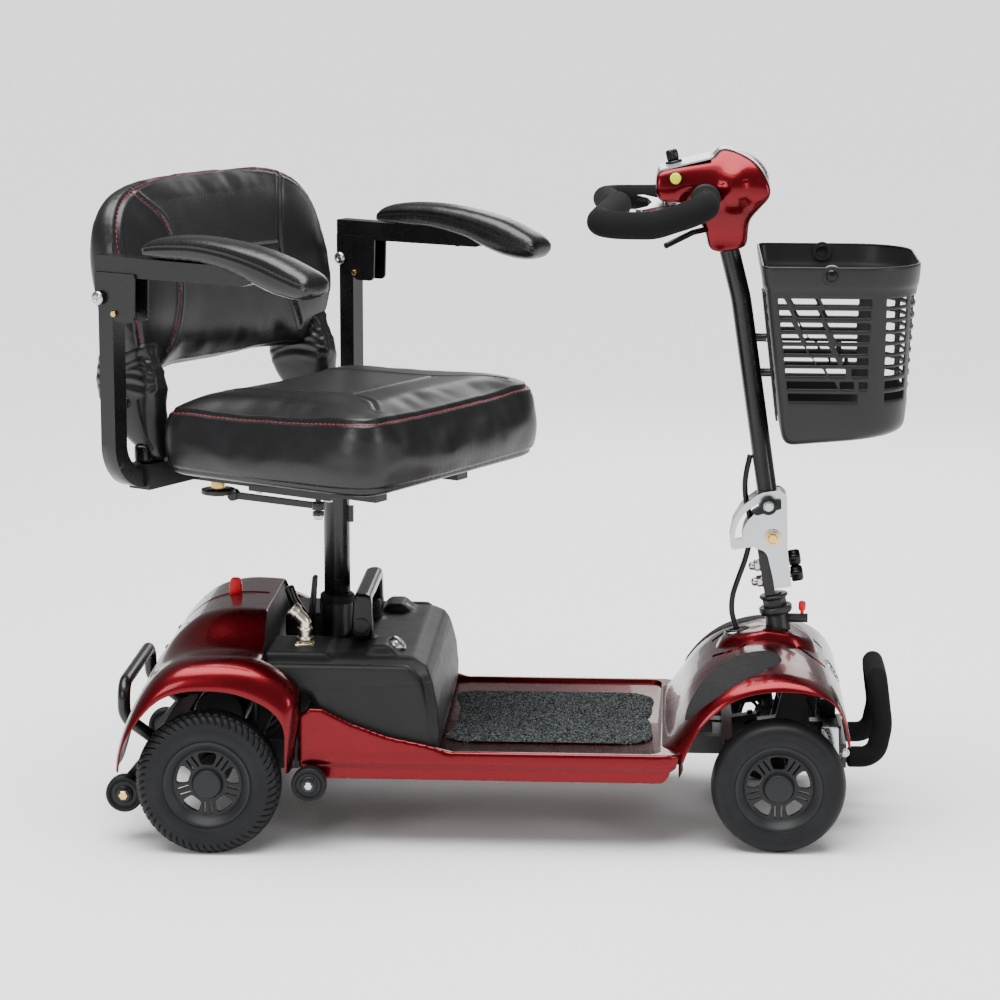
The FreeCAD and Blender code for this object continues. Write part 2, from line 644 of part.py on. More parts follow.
def fold_lock_knob():
    """Locking bolt through the quadrant slots, with a cam handle on the rider's right."""
    bolt = rod(V(LOCK.x, -30, LOCK.z), V(LOCK.x, 26, LOCK.z), 4.5)
    nut = rod(V(LOCK.x, 22.5, LOCK.z), V(LOCK.x, 27, LOCK.z), 8)
    boss = rod(V(LOCK.x, -34, LOCK.z), V(LOCK.x, -22.5, LOCK.z), 11)
    wing = side_plate([(LOCK.x - 22, LOCK.z - 10), (LOCK.x - 6, LOCK.z + 7), (LOCK.x + 18, LOCK.z + 8),
                       (LOCK.x + 18, LOCK.z - 4), (LOCK.x - 16, LOCK.z - 14)], -30, -23.5, 2)
    return [fuse([bolt, nut, boss, wing])]


HEAD = [(211, 911), (212, 888), (220, 878), (243, 876), (256, 866), (278, 838), (289, 809), (332, 813),
        (338, 826), (340, 850), (352, 868), (367, 886), (366, 902), (353, 926), (334, 941), (302, 951),
        (286, 937), (247, 927.5), (217, 920)]
HEAD_SIDE = [(-28, 800), (-31, 838), (-52, 862), (-62, 876), (-66, 900), (-58, 930), (-36, 960), (36, 960),
             (58, 930), (66, 900), (62, 876), (52, 862), (31, 838), (28, 800)]


def head_solid(grow):
    long_wire = route([V(x, -90, z) for x, z in HEAD], 0, True)
    across_wire = route([V(180, y, z) for y, z in HEAD_SIDE], 0, True)
    if grow:
        long_wire = long_wire.makeOffset2D(grow)
        across_wire = across_wire.makeOffset2D(grow)
    solid = Part.Face(long_wire).extrude(V(0, 180, 0))
    return solid.common(Part.Face(across_wire).extrude(V(220, 0, 0)))


def tiller_shell():
    """Moulded head round the controls."""
    body = head_solid(0).cut(head_solid(-SHELL))
    body = body.cut(bent_tube([(330.5, 0, 742), (298, 0, 868)], TILLER_R + 0.5, 0))
    for side in (1, -1):
        start = V(279, side * 30, 884)
        body = body.cut(rod(start, start + V(0, side * 70, 0), 11))
    body = body.cut(rod(BUTTON + V(0, -10, 0), BUTTON + V(0, 12, 0), 6))
    body = body.cut(throttle_space()).cut(brake_space())
    return biggest(body.cut(dial_bore()))


BUTTON = V(238, -62, 912)
DIAL = V(236, 0, 924.7)
DIAL_AXIS = V(-math.sin(math.radians(PANEL_TILT)), 0, math.cos(math.radians(PANEL_TILT)))


def dial_bore():
    return rod(DIAL - DIAL_AXIS * 14, DIAL + DIAL_AXIS * 8, 3 + RUN)


def control_panel():
    """Pale fascia plate on top of the head."""
    outline = [(217, 919.6), (247, 927), (286, 936.6), (285.4, 939.2), (246.4, 930), (216, 922.4)]
    plate = side_plate(outline, -50, 50)
    plate = plate.cut(head_solid(0))
    return biggest(plate.cut(dial_bore()))


def speed_dial():
    base = DIAL + DIAL_AXIS * 3.4
    knob = fuse([rod(base, base + DIAL_AXIS * 3, 11), rod(base, base + DIAL_AXIS * 18, 6.5),
                 rod(DIAL - DIAL_AXIS * 10, base, 3)])
    return [knob]


def horn_button():
    return [fuse([rod(BUTTON + V(0, -6, 0), BUTTON + V(0, 3, 0), 5.5),
                  rod(BUTTON + V(0, 6, 0), BUTTON + V(0, 8.5, 0), 7.5),
                  rod(BUTTON, BUTTON + V(0, 7, 0), 5.5)])]


THROTTLE = V(224, 0, 872)


def throttle_space():
    return rod(V(THROTTLE.x, 0, THROTTLE.z), V(THROTTLE.x, 0, THROTTLE.z + 14), 5)


def throttle_lever():
    """Wig-wag paddle under the head, one wing for each hand."""
    pivot = rod(THROTTLE, THROTTLE + V(0, 0, 14), 4)
    bar = flat_plate([(212, -64), (238, -30), (242, 0), (238, 30), (212, 64), (194, 104), (184, 100),
                      (200, 60), (206, 0), (200, -60), (184, -100), (194, -104)], 866, 873, 2)
    return [fuse([pivot, bar])]


def brake_space():
    return box(262, 296, -56, -17, 833, 848)


def brake_lever():
    """Slim hand lever low on the neck."""
    route_points = [(290, -16, 840), (262, -62, 838), (226, -108, 825)]
    boss = rod(V(290, -16, 833), V(290, -16, 847), 6)
    return [bent_tube(route_points, 4, [0, 20, 0]).fuse(boss)]


def grip_route():
    near = [(279, -16, 884), (279, -195, 884), (212, -195, 861), (133, -195, 861), (158, 0, 868)]
    return near + [(x, -y, z) for x, y, z in reversed(near[:-1])]


GRIP_BENDS = [0, 38, 60, 38, 120, 38, 60, 38, 0]


def handlebar_tube():
    return [bent_tube(grip_route(), 10, GRIP_BENDS)]


def handlebar_foam():
    """Two foam sleeves that meet behind the head."""
    sleeve = bent_tube(grip_route(), 18, GRIP_BENDS).cut(handlebar_tube()[0])
    sleeve = sleeve.cut(box(200, 400, -76, 76, 800, 950))
    return [sleeve.common(box(0, 400, -400, -0.4, 700, 1000)), sleeve.common(box(0, 400, 0.4, 400, 700, 1000))]


CABLE = [(347, 0, 520), (340, 0, 478), (349, 0, 430), (350, 0, 388), (333, 0, 340), (325, 0, 300),
         (336, 0, 262)]


def tiller_cable():
    """Control cable from the tiller tube down into the front shroud."""
    points = [V(*p) for p in CABLE]
    runs = [a.distanceToPoint(b) for a, b in zip(points, points[1:])]
    bends = [0]
    for i in range(1, len(points) - 1):
        turn = math.pi - (points[i - 1] - points[i]).getAngle(points[i + 1] - points[i])
        bends.append(0.45 * min(runs[i - 1], runs[i]) / math.tan(turn / 2))
    bends.append(0)
    print("cable bend radii", [round(b, 1) for b in bends])
    return [bent_tube(CABLE, 4, bends)]


# ---- basket ----------------------------------------------------------------
def basket_section(z, x0, x1, half):
    points = [V(x0, -half, z), V(x1, -half, z), V(x1, half, z), V(x0, half, z)]
    return route(points, [22, 55, 55, 22], True)


def basket():
    """Open tapered basket with slotted walls and a plain rim."""
    def lofted(inward, floor):
        low = basket_section(floor, 387 + inward, 556 - inward, 122 - inward)
        high = basket_section(800, 357 + inward, 570 - inward, 146 - inward)
        return Part.makeLoft([low, high], True, True)
    body = lofted(0, 552).cut(lofted(3, 555.5))
    for z in range(585, 760, 24):
        for y0, y1 in ((-100, -12), (12, 100)):
            body = body.cut(box(540, 590, y0 * 0.72, y1 * 0.72, z, z + 10))
        body = body.cut(box(412, 450, -160, 160, z, z + 10)).cut(box(466, 505, -160, 160, z, z + 10))
    return biggest(body)


# ---- seat ------------------------------------------------------------------
def seat_post():
    """Inner post with the swivel bearing on top."""
    tube = pipe(V(SEAT_X, 0, 190), V(SEAT_X, 0, 470), POST_R, POST_R - 3)
    flange = rod(V(SEAT_X, 0, 466), V(SEAT_X, 0, 472), 34)
    spigot = rod(V(SEAT_X, 0, 472), V(SEAT_X, 0, 494), 12)
    catch = box(SEAT_X + 16, SEAT_X + 24, -6, 6, 418, 440)
    post = fuse([tube, flange, spigot, catch])
    return [post.cut(rod(V(SEAT_X, 0, 185), V(SEAT_X, 0, 440), POST_R - 3))]


BACK_PIVOT_X = -178.0
BACK_PIVOT_Z = 609.0
EAR_Y = 188.0           # inner face of the ears that carry the back
LEVER_X = 12.0
LEVER_Y = -60.0


def seat_frame():
    """Swivel plate, rails, armrest receiver and the two back hinge ears."""
    plate = box(-70, 70, -112, 112, 472.3, 478)
    rails = both_sides(box(-188, 148, 86, 112, 478, 496))
    receiver = box(-190, -154, -226, 226, 482, 517)
    ear = side_plate([(-196, 500), (-158, 500), (-158, 560), (-164, 622), (-192, 622), (-196, 560)], EAR_Y, EAR_Y + 6,
                     [0, 0, 6, 12, 12, 6])
    frame = fuse([plate, receiver] + rails + both_sides(ear))
    hollow = box(ARM_X - 12.6, ARM_X + 12.6, -230, 230, 486.9, 512.1)
    frame = frame.cut(hollow).cut(rod(V(0, 0, 460), V(0, 0, 500), 12 + RUN))
    for side in (1, -1):
        at = V(ARM_X, side * 214, 0)
        frame = frame.cut(rod(at + V(0, 0, 512), at + V(0, 0, 520), 4 + RUN))
        pivot = V(BACK_PIVOT_X, side * (EAR_Y + 12), BACK_PIVOT_Z)
        frame = frame.fuse(rod(V(pivot.x, side * (EAR_Y - 7), pivot.z), pivot, 6))
    pin = fuse([rod(V(LEVER_X, LEVER_Y, 440), V(LEVER_X, LEVER_Y, 474), 4),
                rod(V(LEVER_X, LEVER_Y, 437), V(LEVER_X, LEVER_Y, 443), 8)])
    knob = fuse([rod(V(-134, -99, 460), V(-134, -99, 466), 24), rod(V(-134, -99, 464), V(-134, -99, 478), 10)])
    return [seated(frame.fuse(pin)), seated(knob)]


def seat_cushion():
    """Plain block of the seat cushion: the padding is worked up later."""
    plan = [(-150, -225), (222, -225), (222, 225), (-150, 225)]
    block = flat_plate(plan, 499, 616, [30, 62, 62, 30])
    block = rounded(block, 20, lambda e: e.CenterOfMass.z > 600 and abs(e.BoundBox.ZLength) < 1)
    relief = box(-240, -149, -230, 230, 490, 523)
    return [seated(block.cut(relief).cut(rod(V(0, 0, 490), V(0, 0, 500), 20)))]


def swivel_lever():
    eye = rod(V(LEVER_X, LEVER_Y, 446), V(LEVER_X, LEVER_Y, 456), 9)
    bar = side_plate([(-132, 446), (12, 447), (12, 455), (-132, 455)], LEVER_Y - 4, LEVER_Y + 4)
    tip = rod(V(-137, LEVER_Y - 5, 451), V(-137, LEVER_Y + 5, 451), 8.5)
    lever = fuse([eye, bar, tip])
    return [seated(lever.cut(rod(V(LEVER_X, LEVER_Y, 440), V(LEVER_X, LEVER_Y, 460), 4 + RUN)))]


def arm_knob(side):
    """Clamp knob on top of the armrest receiver."""
    at = V(ARM_X, side * 214, 0)
    screw = rod(at + V(0, 0, 513), at + V(0, 0, 522), 4)
    knob = rod(at + V(0, 0, 519), at + V(0, 0, 541), 13)
    for i in range(6):
        a = math.radians(60 * i)
        flute = at + V(15 * math.cos(a), 15 * math.sin(a), 0)
        knob = knob.cut(rod(flute + V(0, 0, 500), flute + V(0, 0, 560), 4))
    return [seated(fuse([screw, knob]))]


def back_frame():
    """Two flat side bars from the hinge up into the back cushion, with a cross bar."""
    bar = side_plate([(-192, 598), (-164, 598), (-164, 640), (-180, 700), (-205, 820), (-222, 820),
                      (-205, 690), (-192, 640)], EAR_Y - 7, EAR_Y - 0.5,
                     [12, 12, 10, 20, 4, 4, 20, 10])
    cross = box(-214, -206, 5 - EAR_Y, EAR_Y - 5, 790, 810)
    frame = fuse([cross] + both_sides(bar))
    for side in (1, -1):
        a = V(BACK_PIVOT_X, side * (EAR_Y - 16), BACK_PIVOT_Z)
        frame = frame.cut(rod(a, a + V(0, side * 20, 0), 6 + RUN))
    return [seated(frame)]


def back_cushion(frame):
    """Plain block of the back cushion, curved forward at both sides."""
    outline = [(-205, 648), (205, 648), (240, 720), (240, 850), (150, 908), (-150, 908), (-240, 850),
               (-240, 720)]
    slab = cross_plate(outline, -275, -150, [30, 30, 60, 70, 60, 60, 70, 60])
    plan = [(-256, -240), (-236, -240), (-170, -240), (-176, -100), (-184, 0), (-176, 100), (-170, 240),
            (-236, 240), (-256, 240), (-264, 100), (-264, -100)]
    curved = flat_plate(plan, 600, 950, [0, 0, 20, 200, 400, 200, 20, 0, 0, 60, 60])
    block = seated(slab.common(curved))
    return [block.cut(frame)]


def arm_post(side):
    """Square tube that slides in the receiver, bends up and carries the armrest."""
    half = ARM_SIZE / 2
    bend = 52.0
    z = 499.5
    leg_end = ARM_Y - bend
    leg = box(ARM_X - half, ARM_X + half, 40, leg_end, z - half, z + half)
    section = Part.Face(Part.makePolygon([V(ARM_X - half, leg_end, z - half), V(ARM_X + half, leg_end, z - half),
                                          V(ARM_X + half, leg_end, z + half), V(ARM_X - half, leg_end, z + half),
                                          V(ARM_X - half, leg_end, z - half)]))
    elbow = section.revolve(V(ARM_X, leg_end, z + bend), V(1, 0, 0), 90)
    upright = box(ARM_X - half, ARM_X + half, ARM_Y - half, ARM_Y + half, z + bend, 772)
    post = fuse([leg, elbow, upright])
    pin = rod(V(-178, ARM_Y - 22, 755), V(-178, ARM_Y + 22, 755), SMALL_BOLT_R)
    heads = [rod(V(-178, ARM_Y + 16.5, 755), V(-178, ARM_Y + 21, 755), 8.5),
             rod(V(-178, ARM_Y - 21, 755), V(-178, ARM_Y - 16.5, 755), 8.5)]
    post = fuse([post, pin] + heads)
    return [seated(post if side > 0 else mirrored(post))]


def arm_bar(side):
    """Armrest bar with the two cheeks that straddle the post."""
    half = ARM_SIZE / 2
    bar = side_plate([(-189, 784), (60, 786), (104, 800), (104, 811), (-189, 812)], ARM_Y - half, ARM_Y + half)
    cheek = side_plate([(-187, 790), (-187, 745), (-170, 738), (-150, 724), (-120, 724), (-118, 790)],
                       ARM_Y + half + 0.4, ARM_Y + half + 3.4, [0, 10, 10, 4, 8, 0])
    inner = cheek.copy()
    inner.translate(V(0, -ARM_SIZE - 3.8, 0))
    web = [box(-187, -118, ARM_Y - half - 3.4, ARM_Y + half + 3.4, 784.5, 790)]
    stop = rod(V(-153, ARM_Y - half - 3.4, 735), V(-153, ARM_Y + half + 3.4, 735), 5)
    arm = fuse([bar, cheek, inner, stop] + web)
    arm = arm.cut(rod(V(-178, ARM_Y - 40, 755), V(-178, ARM_Y + 40, 755), SMALL_BOLT_R + RUN))
    return [seated(arm if side > 0 else mirrored(arm))]


PAD_Y = 271.0
PAD_HALF = 29.0


def arm_pad(side, bar):
    """Plain block of the armrest pad, drooping at the front."""
    outline = [(-107, 813), (-104, 832), (-60, 843), (-10, 845), (45, 841), (115, 830), (160, 812),
               (174, 794), (160, 780), (112, 776), (60, 796), (0, 812.2)]
    pad = side_plate(outline, PAD_Y - PAD_HALF, PAD_Y + PAD_HALF, [3, 8, 20, 20, 20, 20, 12, 8, 6, 20, 30, 0])
    pad = seated(pad if side > 0 else mirrored(pad))
    return biggest(pad.cut(bar))


# ---- the whole scooter -------------------------------------------------------
def model():
    nodes = {}
    nodes["rear_frame"] = rear_frame()
    nodes["transaxle"] = transaxle()
    nodes["freewheel_lever"] = freewheel_lever()
    nodes["rear_bumper"] = rear_bumper(nodes["rear_frame"][0])
    nodes["rear_shroud"] = rear_shroud()
    nodes["seat_post_socket"] = seat_post_socket()
    nodes["battery_box"] = battery_box()
    nodes["battery_handle"] = battery_handle()
    nodes["deck_pan"] = deck_pan()
    nodes["deck_mat"] = deck_mat()
    nodes["front_frame"] = front_frame()
    nodes["headlight"] = headlight()
    nodes["front_shroud"] = front_shroud(nodes["headlight"][0])
    nodes["grip_pads"] = grip_pads()
    nodes["front_bumper"] = front_bumper()
    nodes["bumper_foam"] = bumper_foam()
    nodes["steer_lock_pin"] = steer_lock_pin()
    nodes["tie_rod"] = tie_rod()
    nodes["steering_stem"] = steering_stem()
    nodes["hinge_plates"] = hinge_plates()
    nodes["tiller_tube"] = tiller_tube()
    nodes["fold_lock_knob"] = fold_lock_knob()
    nodes["tiller_shell"] = tiller_shell()
    nodes["control_panel"] = control_panel()
    nodes["speed_dial"] = speed_dial()
    nodes["horn_button"] = horn_button()
    nodes["throttle_lever"] = throttle_lever()
    nodes["brake_lever"] = brake_lever()
    nodes["handlebar_tube"] = handlebar_tube()
    nodes["handlebar_foam"] = handlebar_foam()
    nodes["tiller_cable"] = tiller_cable()
    nodes["basket"] = basket()
    nodes["seat_post"] = seat_post()
    nodes["seat_frame"] = seat_frame()
    nodes["seat_cushion"] = seat_cushion()
    nodes["swivel_lever"] = swivel_lever()
    nodes["back_frame"] = back_frame()
    nodes["back_cushion"] = back_cushion(nodes["back_frame"][0])
    for name, side in (("left", 1), ("right", -1)):
        nodes["rear_tyre_" + name] = [tyre(REAR_R, REAR_X, side * REAR_Y)]
        nodes["rear_rim_" + name] = rear_rim(side)
        nodes["front_tyre_" + name] = [tyre(FRONT_R, FRONT_X, side * FRONT_Y)]
        nodes["front_rim_" + name] = front_rim(side)
        nodes["antitip_wheel_" + name] = [small_wheel(ANTITIP.x, side * ANTITIP.y, ANTITIP.z, ANTITIP_R)]
        nodes["transit_wheel_" + name] = [small_wheel(TRANSIT.x, side * TRANSIT.y, TRANSIT.z, TRANSIT_R)]
        nodes["knuckle_" + name] = knuckle(side)
        nodes["arm_knob_" + name] = arm_knob(side)
        nodes["arm_post_" + name] = arm_post(side)
        nodes["arm_bar_" + name] = arm_bar(side)
        nodes["arm_pad_" + name] = arm_pad(side, nodes["arm_bar_" + name][0])
    return nodes


def main():
    os.makedirs("parts", exist_ok=True)
    for name, solids in model().items():
        flat = [solid for shape in solids for solid in shape.Solids]
        for solid in flat:
            if not solid.isValid():
                print("not valid:", name)
        shape = Part.makeCompound(flat)
        shape.exportStep("parts/" + name + ".step")
        b = shape.BoundBox
        print("%-20s %2d solids %9.1f cm3  x %.0f..%.0f y %.0f..%.0f z %.0f..%.0f" % (
            name, len(flat), shape.Volume / 1000, b.XMin, b.XMax, b.YMin, b.YMax, b.ZMin, b.ZMax))


main()
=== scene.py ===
import math
import bmesh
import bpy
import numpy as np
from mathutils import Matrix, Vector, noise
from mathutils.bvhtree import BVHTree
from mathutils.kdtree import KDTree


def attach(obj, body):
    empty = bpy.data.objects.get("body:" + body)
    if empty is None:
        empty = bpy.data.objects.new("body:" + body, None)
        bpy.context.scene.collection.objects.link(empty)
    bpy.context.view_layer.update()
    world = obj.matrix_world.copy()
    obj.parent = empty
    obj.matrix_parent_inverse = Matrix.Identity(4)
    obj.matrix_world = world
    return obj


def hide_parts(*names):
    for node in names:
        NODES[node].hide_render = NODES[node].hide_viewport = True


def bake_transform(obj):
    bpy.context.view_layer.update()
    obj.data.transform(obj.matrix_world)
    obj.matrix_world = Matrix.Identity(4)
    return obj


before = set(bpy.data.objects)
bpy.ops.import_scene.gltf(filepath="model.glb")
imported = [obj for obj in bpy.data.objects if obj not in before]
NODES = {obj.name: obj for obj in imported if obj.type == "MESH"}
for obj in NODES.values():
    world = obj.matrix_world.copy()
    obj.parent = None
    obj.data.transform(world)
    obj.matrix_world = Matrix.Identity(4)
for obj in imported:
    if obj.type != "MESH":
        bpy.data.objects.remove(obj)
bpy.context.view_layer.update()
SCENE = bpy.context.scene
MM = 0.001

# ---- dimensions repeated from the CAD, in millimetres ------------------------
REAR_X, REAR_Y, REAR_R = -389.0, 228.0, 100.0
FRONT_X, FRONT_Y, FRONT_R = 389.0, 177.0, 92.5
SEAT_X = -235.0
SEAT_TURN = math.radians(-30)
RAKE = math.radians(10)
SIDES = (("left", 1), ("right", -1))


# ---- mesh helpers -------------------------------------------------------------
def seated(points):
    """From the seat's own frame (x forward) to the swivelled seat."""
    p = np.atleast_2d(np.asarray(points, float))
    c, s = math.cos(SEAT_TURN), math.sin(SEAT_TURN)
    return np.stack([SEAT_X + p[:, 0] * c - p[:, 1] * s, p[:, 0] * s + p[:, 1] * c, p[:, 2]], 1)


def raked(points):
    """From the steering frame (z up the steering axis) to its place."""
    p = np.atleast_2d(np.asarray(points, float))
    c, s = math.cos(RAKE), math.sin(RAKE)
    return np.stack([388.5 + p[:, 0] * c - p[:, 2] * s, p[:, 1], 290 + p[:, 0] * s + p[:, 2] * c], 1)


def link(name, mesh):
    """Put a mesh, light or camera into the scene."""
    obj = bpy.data.objects.new(name, mesh)
    SCENE.collection.objects.link(obj)
    return obj


def build(name, points, faces, smooth=True):
    """A mesh from points in millimetres."""
    mesh = bpy.data.meshes.new(name)
    mesh.from_pydata((np.asarray(points, float) * MM).tolist(), [], [list(map(int, f)) for f in faces])
    mesh.update()
    if smooth:
        mesh.shade_smooth()
    return link(name, mesh)


def tidy(obj, merge=1e-5):
    """Merge doubles, drop loose points and turn the faces outwards."""
    bm = bmesh.new()
    bm.from_mesh(obj.data)
    bmesh.ops.remove_doubles(bm, verts=bm.verts, dist=merge)
    bmesh.ops.delete(bm, geom=[v for v in bm.verts if not v.link_faces], context="VERTS")
    bmesh.ops.recalc_face_normals(bm, faces=bm.faces)
    bm.to_mesh(obj.data)
    bm.free()
    return obj


def modifier(obj, kind, **values):
    """Add a modifier with its settings."""
    mod = obj.modifiers.new(kind.lower(), kind)
    for key, value in values.items():
        setattr(mod, key, value)
    return mod


def apply_all(obj):
    """Bake the modifiers into the mesh."""
    bpy.context.view_layer.update()
    graph = bpy.context.evaluated_depsgraph_get()
    mesh = bpy.data.meshes.new_from_object(obj.evaluated_get(graph))
    obj.modifiers.clear()
    old = obj.data
    obj.data = mesh
    bpy.data.meshes.remove(old)
    return obj


def co(obj):
    """Positions of the vertices, in metres."""
    out = np.empty(len(obj.data.vertices) * 3)
    obj.data.vertices.foreach_get("co", out)
    return out.reshape(-1, 3)


def set_co(obj, points):
    """Move the vertices, in metres."""
    obj.data.vertices.foreach_set("co", np.asarray(points, float).ravel())
    obj.data.update()


def normals(obj):
    """Normals of the vertices."""
    out = np.empty(len(obj.data.vertices) * 3)
    obj.data.vertex_normals.foreach_get("vector", out)
    return out.reshape(-1, 3)


def facing_up(obj):
    """Turn a sheet over if it faces down."""
    if np.mean(normals(obj)[:, 2]) < 0:
        obj.data.flip_normals()


def full_turn(count):
    """Angles evenly round a full turn."""
    return np.linspace(0, 2 * math.pi, count, endpoint=False)


def mirrored(half):
    """A closed outline from its right half: the left half first, and then the right half backwards."""
    return [(-u, v) for u, v in half] + half[::-1]


def frame_about(axis):
    """An axis as a unit vector, and two more at right angles to it."""
    axis = Vector(axis).normalized()
    side = axis.orthogonal().normalized()
    return axis, side, axis.cross(side)


def through(points, per_span, closed=False):
    """Points on a smooth curve through the given ones, the same number in each span."""
    p = np.asarray(points, float)
    if closed:
        ext = np.vstack([p[-1:], p, p[:2]])
    else:
        ext = np.vstack([2 * p[0] - p[1], p, 2 * p[-1] - p[-2]])
    spans = len(ext) - 3
    t = np.linspace(0, 1, per_span, endpoint=False)[:, None]
    out = []
    for i in range(spans):
        a, b, c, d = ext[i:i + 4]
        out.append(0.5 * (2 * b + (c - a) * t + (2 * a - 5 * b + 4 * c - d) * t ** 2
                          + (3 * b - a - 3 * c + d) * t ** 3))
    if not closed:
        out.append(p[-1:])
    return np.vstack(out)


def travelled(points):
    """Length along a polyline, at each of its points."""
    return np.concatenate([[0], np.cumsum(np.linalg.norm(np.diff(points, axis=0), axis=1))])


def evenly(points, count, closed=False):
    """Resample a polyline to evenly spaced points."""
    p = np.asarray(points, float)
    if closed:
        p = np.vstack([p, p[:1]])
    run = travelled(p)
    at = np.linspace(0, run[-1], count + 1 if closed else count)
    out = np.stack([np.interp(at, run, p[:, i]) for i in range(p.shape[1])], 1)
    return out[:-1] if closed else out


def curve(points, count, closed=False):
    """Evenly spaced points on a smooth curve through the given ones."""
    return evenly(through(points, 16, closed), count, closed)


def grid_faces(rows, columns, wrap_rows=False, wrap_columns=False, keep=None):
    """Faces between rows of points. keep says which of them are made."""
    faces = []
    for i in range(rows if wrap_rows else rows - 1):
        for j in range(columns if wrap_columns else columns - 1):
            if keep is not None and not keep[i, j]:
                continue
            k, m = (i + 1) % rows, (j + 1) % columns
            faces.append((i * columns + j, i * columns + m, k * columns + m, k * columns + j))
    return faces


def grid(name, points, **options):
    """A sheet from an array of rows x columns x 3."""
    rows, columns = points.shape[:2]
    return build(name, points.reshape(-1, 3), grid_faces(rows, columns, **options))


def capped(name, rings):
    """A closed form from rings of points, with a point at the middle of each end ring."""
    rings = np.asarray(rings, float)
    rows, columns = rings.shape[:2]
    points = np.vstack([rings.reshape(-1, 3), rings[0].mean(0)[None], rings[-1].mean(0)[None]])
    faces = grid_faces(rows, columns, wrap_columns=True)
    first, last = rows * columns, rows * columns + 1
    for j in range(columns):
        m = (j + 1) % columns
        faces.append((first, m, j))
        faces.append((last, (rows - 1) * columns + j, (rows - 1) * columns + m))
    return tidy(build(name, points, faces))


def lathe(name, profile, centre, axis=(0, 1, 0), count=96):
    """Turn (distance along the axis, radius) points about an axis."""
    axis, side, up = frame_about(axis)
    turn = full_turn(count)
    profile = np.asarray(profile, float)
    ring = np.outer(np.cos(turn), side) + np.outer(np.sin(turn), up)
    points = (np.asarray(centre, float) + profile[:, None, :1] * np.asarray(axis)
              + profile[:, None, 1:2] * ring[None])
    obj = build(name, points.reshape(-1, 3), grid_faces(len(profile), count, wrap_columns=True))
    return tidy(obj, 1e-6)


def rounded_line(points, radius, steps=4):
    """A polyline with its corners rounded off."""
    p = np.asarray(points, float)
    out = [p[0]]
    for before, at, after in zip(p, p[1:], p[2:]):
        r = min(radius, 0.45 * np.linalg.norm(before - at), 0.45 * np.linalg.norm(after - at))
        a = at + (before - at) / max(np.linalg.norm(before - at), 1e-9) * r
        b = at + (after - at) / max(np.linalg.norm(after - at), 1e-9) * r
        for t in np.linspace(0, 1, steps):
            out.append((1 - t) ** 2 * a + 2 * t * (1 - t) * at + t * t * b)
    out.append(p[-1])
    return np.array(out)


def turned(name, profile, centre, axis=(0, 1, 0), soft=0.6, count=64):
    """A lathe whose corners are slightly rounded."""
    return lathe(name, rounded_line(profile, soft), centre, axis, count)


def sweep(name, points, radius, sides=32, flat=None):
    """A closed round bar along a line. radius is a number or one for each point."""
    p = np.asarray(points, float)
    radius = np.broadcast_to(np.asarray(radius, float), (len(p),))
    tangent = np.gradient(p, axis=0)
    tangent /= np.linalg.norm(tangent, axis=1)[:, None]
    side = Vector(tangent[0]).orthogonal().normalized() if flat is None else Vector(flat)
    turn = full_turn(sides)
    rings = []
    for at, ahead, r in zip(p, tangent, radius):
        ahead = Vector(ahead)
        side = (side - ahead * side.dot(ahead)).normalized()
        up = ahead.cross(side)
        rings.append(at + r * (np.outer(np.cos(turn), side) + np.outer(np.sin(turn), up)))
    return capped(name, rings)


def round_ends(points, radius, roll):
    """Radii that close both ends of a bar with a rounded shoulder."""
    p = np.asarray(points, float)
    run = travelled(p)
    near = np.minimum(run, run[-1] - run)
    t = np.clip(near / roll, 0, 1)
    return (radius - roll) + roll * np.sqrt(np.clip(1 - (1 - t) ** 2, 0.0, 1))


def dense_ends(points, roll, steps=5):
    """Extra points close to both ends, so that a rounded shoulder has something to bend."""
    p = np.asarray(points, float)
    run = travelled(p)
    extra = roll * (1 - np.cos(np.linspace(0, math.pi / 2, steps)))
    at = np.unique(np.concatenate([extra, run[(run > roll) & (run < run[-1] - roll)], run[-1] - extra]))
    return np.stack([np.interp(at, run, p[:, i]) for i in range(3)], 1)


def bar(name, points, radius, roll=None, sides=32, flat=None):
    """A round bar with rounded ends."""
    roll = min(2.0, radius * 0.5) if roll is None else roll
    p = dense_ends(points, roll)
    return sweep(name, p, round_ends(p, radius, roll), sides, flat)


def box(name, low, high, bevel=1.0, segments=3, place=None):
    """A block with rounded edges. place takes its corners to where it belongs."""
    x0, y0, z0 = low
    x1, y1, z1 = high
    corners = np.array([(x, y, z) for x in (x0, x1) for y in (y0, y1) for z in (z0, z1)], float)
    if place:
        corners = place(corners)
    faces = [(0, 1, 3, 2), (4, 6, 7, 5), (0, 4, 5, 1), (2, 3, 7, 6), (0, 2, 6, 4), (1, 5, 7, 3)]
    obj = tidy(build(name, corners, faces, False))
    if bevel:
        modifier(obj, "BEVEL", width=bevel * MM, segments=segments, limit_method="ANGLE", harden_normals=True)
        apply_all(obj)
        obj.data.shade_smooth()
    return obj


def prism(name, outline, low, high, place, bevel=1.0, segments=3):
    """A plate cut to an outline. place takes (u, v, w) to its place, w from low to high."""
    n = len(outline)
    flat = np.asarray(outline, float)
    points = np.vstack([np.c_[flat, np.full(n, low)], np.c_[flat, np.full(n, high)]])
    faces = [tuple(range(n))[::-1], tuple(range(n, 2 * n))]
    faces += [(i, (i + 1) % n, n + (i + 1) % n, n + i) for i in range(n)]
    obj = tidy(build(name, place(points), faces, False))
    if bevel:
        modifier(obj, "BEVEL", width=bevel * MM, segments=segments, limit_method="ANGLE",
                 angle_limit=math.radians(40), harden_normals=True)
        apply_all(obj)
    obj.data.shade_smooth()
    return obj


